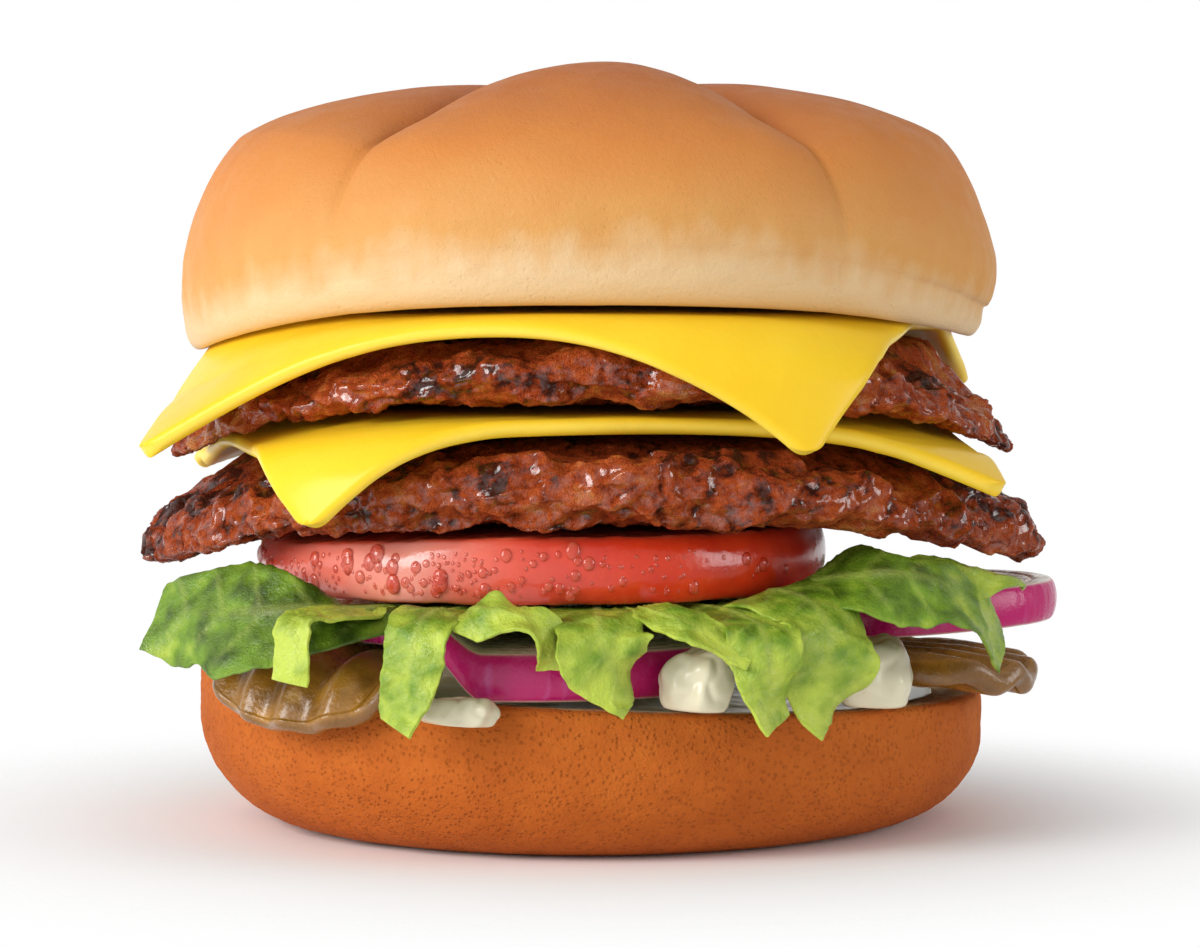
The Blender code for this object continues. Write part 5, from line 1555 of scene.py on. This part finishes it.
def add_floor(stage):
    """A flat floor under the heel, whose pale paper thins out into the white surroundings all round."""
    mesh = bpy.data.meshes.new("floor")
    corners = [(x * FLOOR_REACH, y * FLOOR_REACH, 0.0) for x, y in ((-1, -1), (1, -1), (1, 1), (-1, 1))]
    mesh.from_pydata(corners, [], [(0, 1, 2, 3)])
    tree = new_tree("floor_paper")
    colour = mottled(tree, stage.floor, [c * 0.99 for c in stage.floor], 4.0)
    shader = tree.nodes["Principled BSDF"]
    tree.links.new(colour, shader.inputs["Base Color"])
    set_sockets(shader, Roughness=0.8, Specular_IOR_Level=0.0)
    coords = add_node(tree, "ShaderNodeTexCoord").outputs["Object"]
    away = add_node(tree, "ShaderNodeVectorMath", {0: coords}, operation="LENGTH").outputs["Value"]
    starts, ends = FLOOR_THINS
    paper = add_node(tree, "ShaderNodeMapRange", {"Value": away, "From Min": starts, "From Max": ends, "To Min": 1.0,
                                                  "To Max": 0.0}, interpolation_type="SMOOTHSTEP").outputs[0]
    tree.links.new(paper, shader.inputs["Alpha"])
    mesh.materials.append(bpy.data.materials["floor_paper"])
    floor = bpy.data.objects.new("floor", mesh)
    bpy.context.scene.collection.objects.link(floor)


def add_surroundings(scene, stage):
    """White walls all round, bright at the floor's level, dimmer overhead and dimmest at the right."""
    world = bpy.data.worlds.new("studio")
    world.use_nodes = True
    tree = world.node_tree
    coords = add_node(tree, "ShaderNodeTexCoord")
    parts = add_node(tree, "ShaderNodeSeparateXYZ", {0: coords.outputs["Generated"]})
    shares = []
    for axis, (starts, ends, least), most in (("Z", WALLS_DIM_UP, 1.0), ("X", WALLS_DIM_RIGHT, stage.sky)):
        shares.append(add_node(tree, "ShaderNodeMapRange", {
            "Value": parts.outputs[axis], "From Min": starts, "From Max": ends, "To Min": most,
            "To Max": least * most}))
    back = tree.nodes["Background"]
    back.inputs["Color"].default_value = (1.0, 1.0, 1.0, 1.0)
    strength = arithmetic(tree, "MULTIPLY", shares[0].outputs[0], shares[1].outputs[0])
    tree.links.new(strength, back.inputs["Strength"])
    scene.world = world
    scene.view_settings.view_transform = "Standard"


def add_light(name, place, width, power):
    """A square soft light that faces the middle of the burger."""
    light = bpy.data.lights.new(name, "AREA")
    light.energy, light.size, light.shape = power, width, "SQUARE"
    lamp = bpy.data.objects.new(name, light)
    lamp.location = place
    lamp.rotation_euler = (Vector(LIGHT_TARGET) - Vector(place)).to_track_quat("-Z", "Y").to_euler()
    bpy.context.scene.collection.objects.link(lamp)


def add_camera(scene):
    """The camera: a long lens a little over the table, aimed at the burger's middle."""
    made = bpy.data.cameras.new("camera")
    made.sensor_fit, made.sensor_width, made.lens = "HORIZONTAL", CAMERA_SENSOR, CAMERA_LENS
    camera = bpy.data.objects.new("camera", made)
    lift = math.radians(CAMERA_ELEVATION)
    target = Vector(CAMERA_TARGET)
    camera.location = target + CAMERA_DISTANCE * Vector((0.0, -math.cos(lift), math.sin(lift)))
    camera.rotation_euler = (math.pi / 2 - lift, 0.0, 0.0)
    scene.collection.objects.link(camera)
    scene.camera = camera


class BURGER_OT_crown(Operator):
    """Makes the crown of the bun"""
    bl_idname = "burger.crown"
    bl_label = "Crown"

    def execute(self, context):
        bun = context.scene.burger_bun
        surface, values = crown_surface(bun.crown_wrinkle)
        put_piece("bun_crown", surface, crown_material(bun), ["crown"], values)
        return {"FINISHED"}


class BURGER_OT_heel(Operator):
    """Makes the heel of the bun"""
    bl_idname = "burger.heel"
    bl_label = "Heel"

    def execute(self, context):
        bun = context.scene.burger_bun
        surface, values = heel_surface(bun.heel_grit)
        put_piece("bun_heel", surface, heel_material(bun), ["heel"], values)
        return {"FINISHED"}


class BURGER_OT_patties(Operator):
    """Makes both patties"""
    bl_idname = "burger.patties"
    bl_label = "Patties"

    def execute(self, context):
        meat = context.scene.burger_patties
        material = patty_material(meat)
        # The upper patty is lifted with painted light, as the cheese above shades it.
        for name, level, spec, painted_light_lift in (("patty_lower", LOWER_PATTY_LEVEL, LOWER_PATTY, 0.0),
                                          ("patty_upper", UPPER_PATTY_LEVEL, UPPER_PATTY, 0.35)):
            surface, values = patty_surface(level, spec, meat.clump, meat.depth, painted_light_lift)
            put_piece(f"minced_{name}", surface, material, [name], values)
        return {"FINISHED"}


class BURGER_OT_cheese(Operator):
    """Makes both cheese slices"""
    bl_idname = "burger.cheese"
    bl_label = "Cheese"

    def execute(self, context):
        cheese = context.scene.burger_cheese
        material = cheese_material(cheese)
        for name, level, spec, patty in (("cheese_lower", LOWER_CHEESE_LEVEL, LOWER_CHEESE, LOWER_PATTY),
                                         ("cheese_upper", UPPER_CHEESE_LEVEL, UPPER_CHEESE, UPPER_PATTY)):
            surface, values = cheese_surface(level, spec, patty, cheese.dents, CHEESE_SEEDS[name])
            put_piece(f"draped_{name}", surface, material, [name], values)
        return {"FINISHED"}


class BURGER_OT_tomato(Operator):
    """Makes the tomato slice and the water drops on its skin"""
    bl_idname = "burger.tomato"
    bl_label = "Tomato"

    def execute(self, context):
        salad = context.scene.burger_salad
        surface, values = tomato_surface()
        put_piece("tomato_slice", surface, tomato_material(salad), ["tomato"], values)
        put_piece("water_drops", drops_surface(salad.drops, DROPS_SEED), water_material(salad), [])
        return {"FINISHED"}


class BURGER_OT_onions(Operator):
    """Makes both onion slices"""
    bl_idname = "burger.onions"
    bl_label = "Onions"

    def execute(self, context):
        material = onion_material(context.scene.burger_salad)
        for name, spec, layers in (("onion_front", FRONT_ONION, 8.0), ("onion_side", SIDE_ONION, 6.0)):
            surface, values = onion_surface(spec, layers)
            put_piece(f"sliced_{name}", surface, material, [name], values)
        return {"FINISHED"}


class BURGER_OT_gherkins(Operator):
    """Makes both gherkin chips"""
    bl_idname = "burger.gherkins"
    bl_label = "Gherkins"

    def execute(self, context):
        material = gherkin_material(context.scene.burger_salad)
        for number, (name, spec) in enumerate((("gherkin_left", LEFT_GHERKIN), ("gherkin_right", RIGHT_GHERKIN))):
            surface, values = gherkin_surface(spec, GHERKIN_SEED + GHERKIN_SEED_STEP * number)
            put_piece(f"chip_{name}", surface, material, [name], values)
        return {"FINISHED"}


class BURGER_OT_mayonnaise(Operator):
    """Makes the mayonnaise: the dollops at the rim and the smear under the salad"""
    bl_idname = "burger.mayonnaise"
    bl_label = "Mayonnaise"

    def execute(self, context):
        material = mayonnaise_material(context.scene.burger_sauce)
        for number, (name, spec) in enumerate(DOLLOPS.items()):
            put_piece(f"dollop_{name}", dollop_surface(spec, DOLLOP_SEED + number), material, [name])
        put_piece("mayonnaise_smear", film_surface(), material, [])
        return {"FINISHED"}


class BURGER_OT_lettuce(Operator):
    """Makes the lettuce heap"""
    bl_idname = "burger.lettuce"
    bl_label = "Lettuce"

    def execute(self, context):
        salad = context.scene.burger_salad
        surface, values = lettuce_surface(salad.crinkle)
        put_piece("lettuce_heap", surface, lettuce_material(salad), ["lettuce"], values)
        return {"FINISHED"}


class BURGER_PT_panel(Panel):
    """Lists the burger's pieces and their settings"""
    bl_label = "Double cheeseburger"
    bl_space_type = "VIEW_3D"
    bl_region_type = "UI"
    bl_category = "Burger"

    def draw(self, context):
        layout = self.layout
        for operator in OPERATORS:
            layout.operator(operator.bl_idname)
        for name, settings in SETTINGS.items():
            box = layout.box()
            for label in settings.__annotations__:
                box.prop(getattr(context.scene, name), label)


SETTINGS = {"burger_bun": BunSettings, "burger_patties": PattySettings, "burger_cheese": CheeseSettings,
            "burger_salad": SaladSettings, "burger_sauce": SauceSettings, "burger_stage": StageSettings}
OPERATORS = (BURGER_OT_stage, BURGER_OT_heel, BURGER_OT_mayonnaise, BURGER_OT_gherkins, BURGER_OT_onions,
             BURGER_OT_lettuce, BURGER_OT_tomato, BURGER_OT_patties, BURGER_OT_cheese, BURGER_OT_crown)


def register():
    """Registers the settings, the operators and the panel."""
    for kind in (*SETTINGS.values(), *OPERATORS, BURGER_PT_panel):
        bpy.utils.register_class(kind)
    for name, kind in SETTINGS.items():
        setattr(bpy.types.Scene, name, PointerProperty(type=kind))


def unregister():
    """Takes the settings, the operators and the panel away."""
    for name in SETTINGS:
        delattr(bpy.types.Scene, name)
    for kind in reversed((*SETTINGS.values(), *OPERATORS, BURGER_PT_panel)):
        bpy.utils.unregister_class(kind)


def main():
    """Makes the whole burger."""
    register()
    bpy.ops.burger.stage()
    bpy.ops.burger.heel()
    bpy.ops.burger.mayonnaise()
    bpy.ops.burger.gherkins()
    bpy.ops.burger.onions()
    bpy.ops.burger.lettuce()
    bpy.ops.burger.tomato()
    bpy.ops.burger.patties()
    bpy.ops.burger.cheese()
    bpy.ops.burger.crown()


if __name__ == "__main__":
    main()
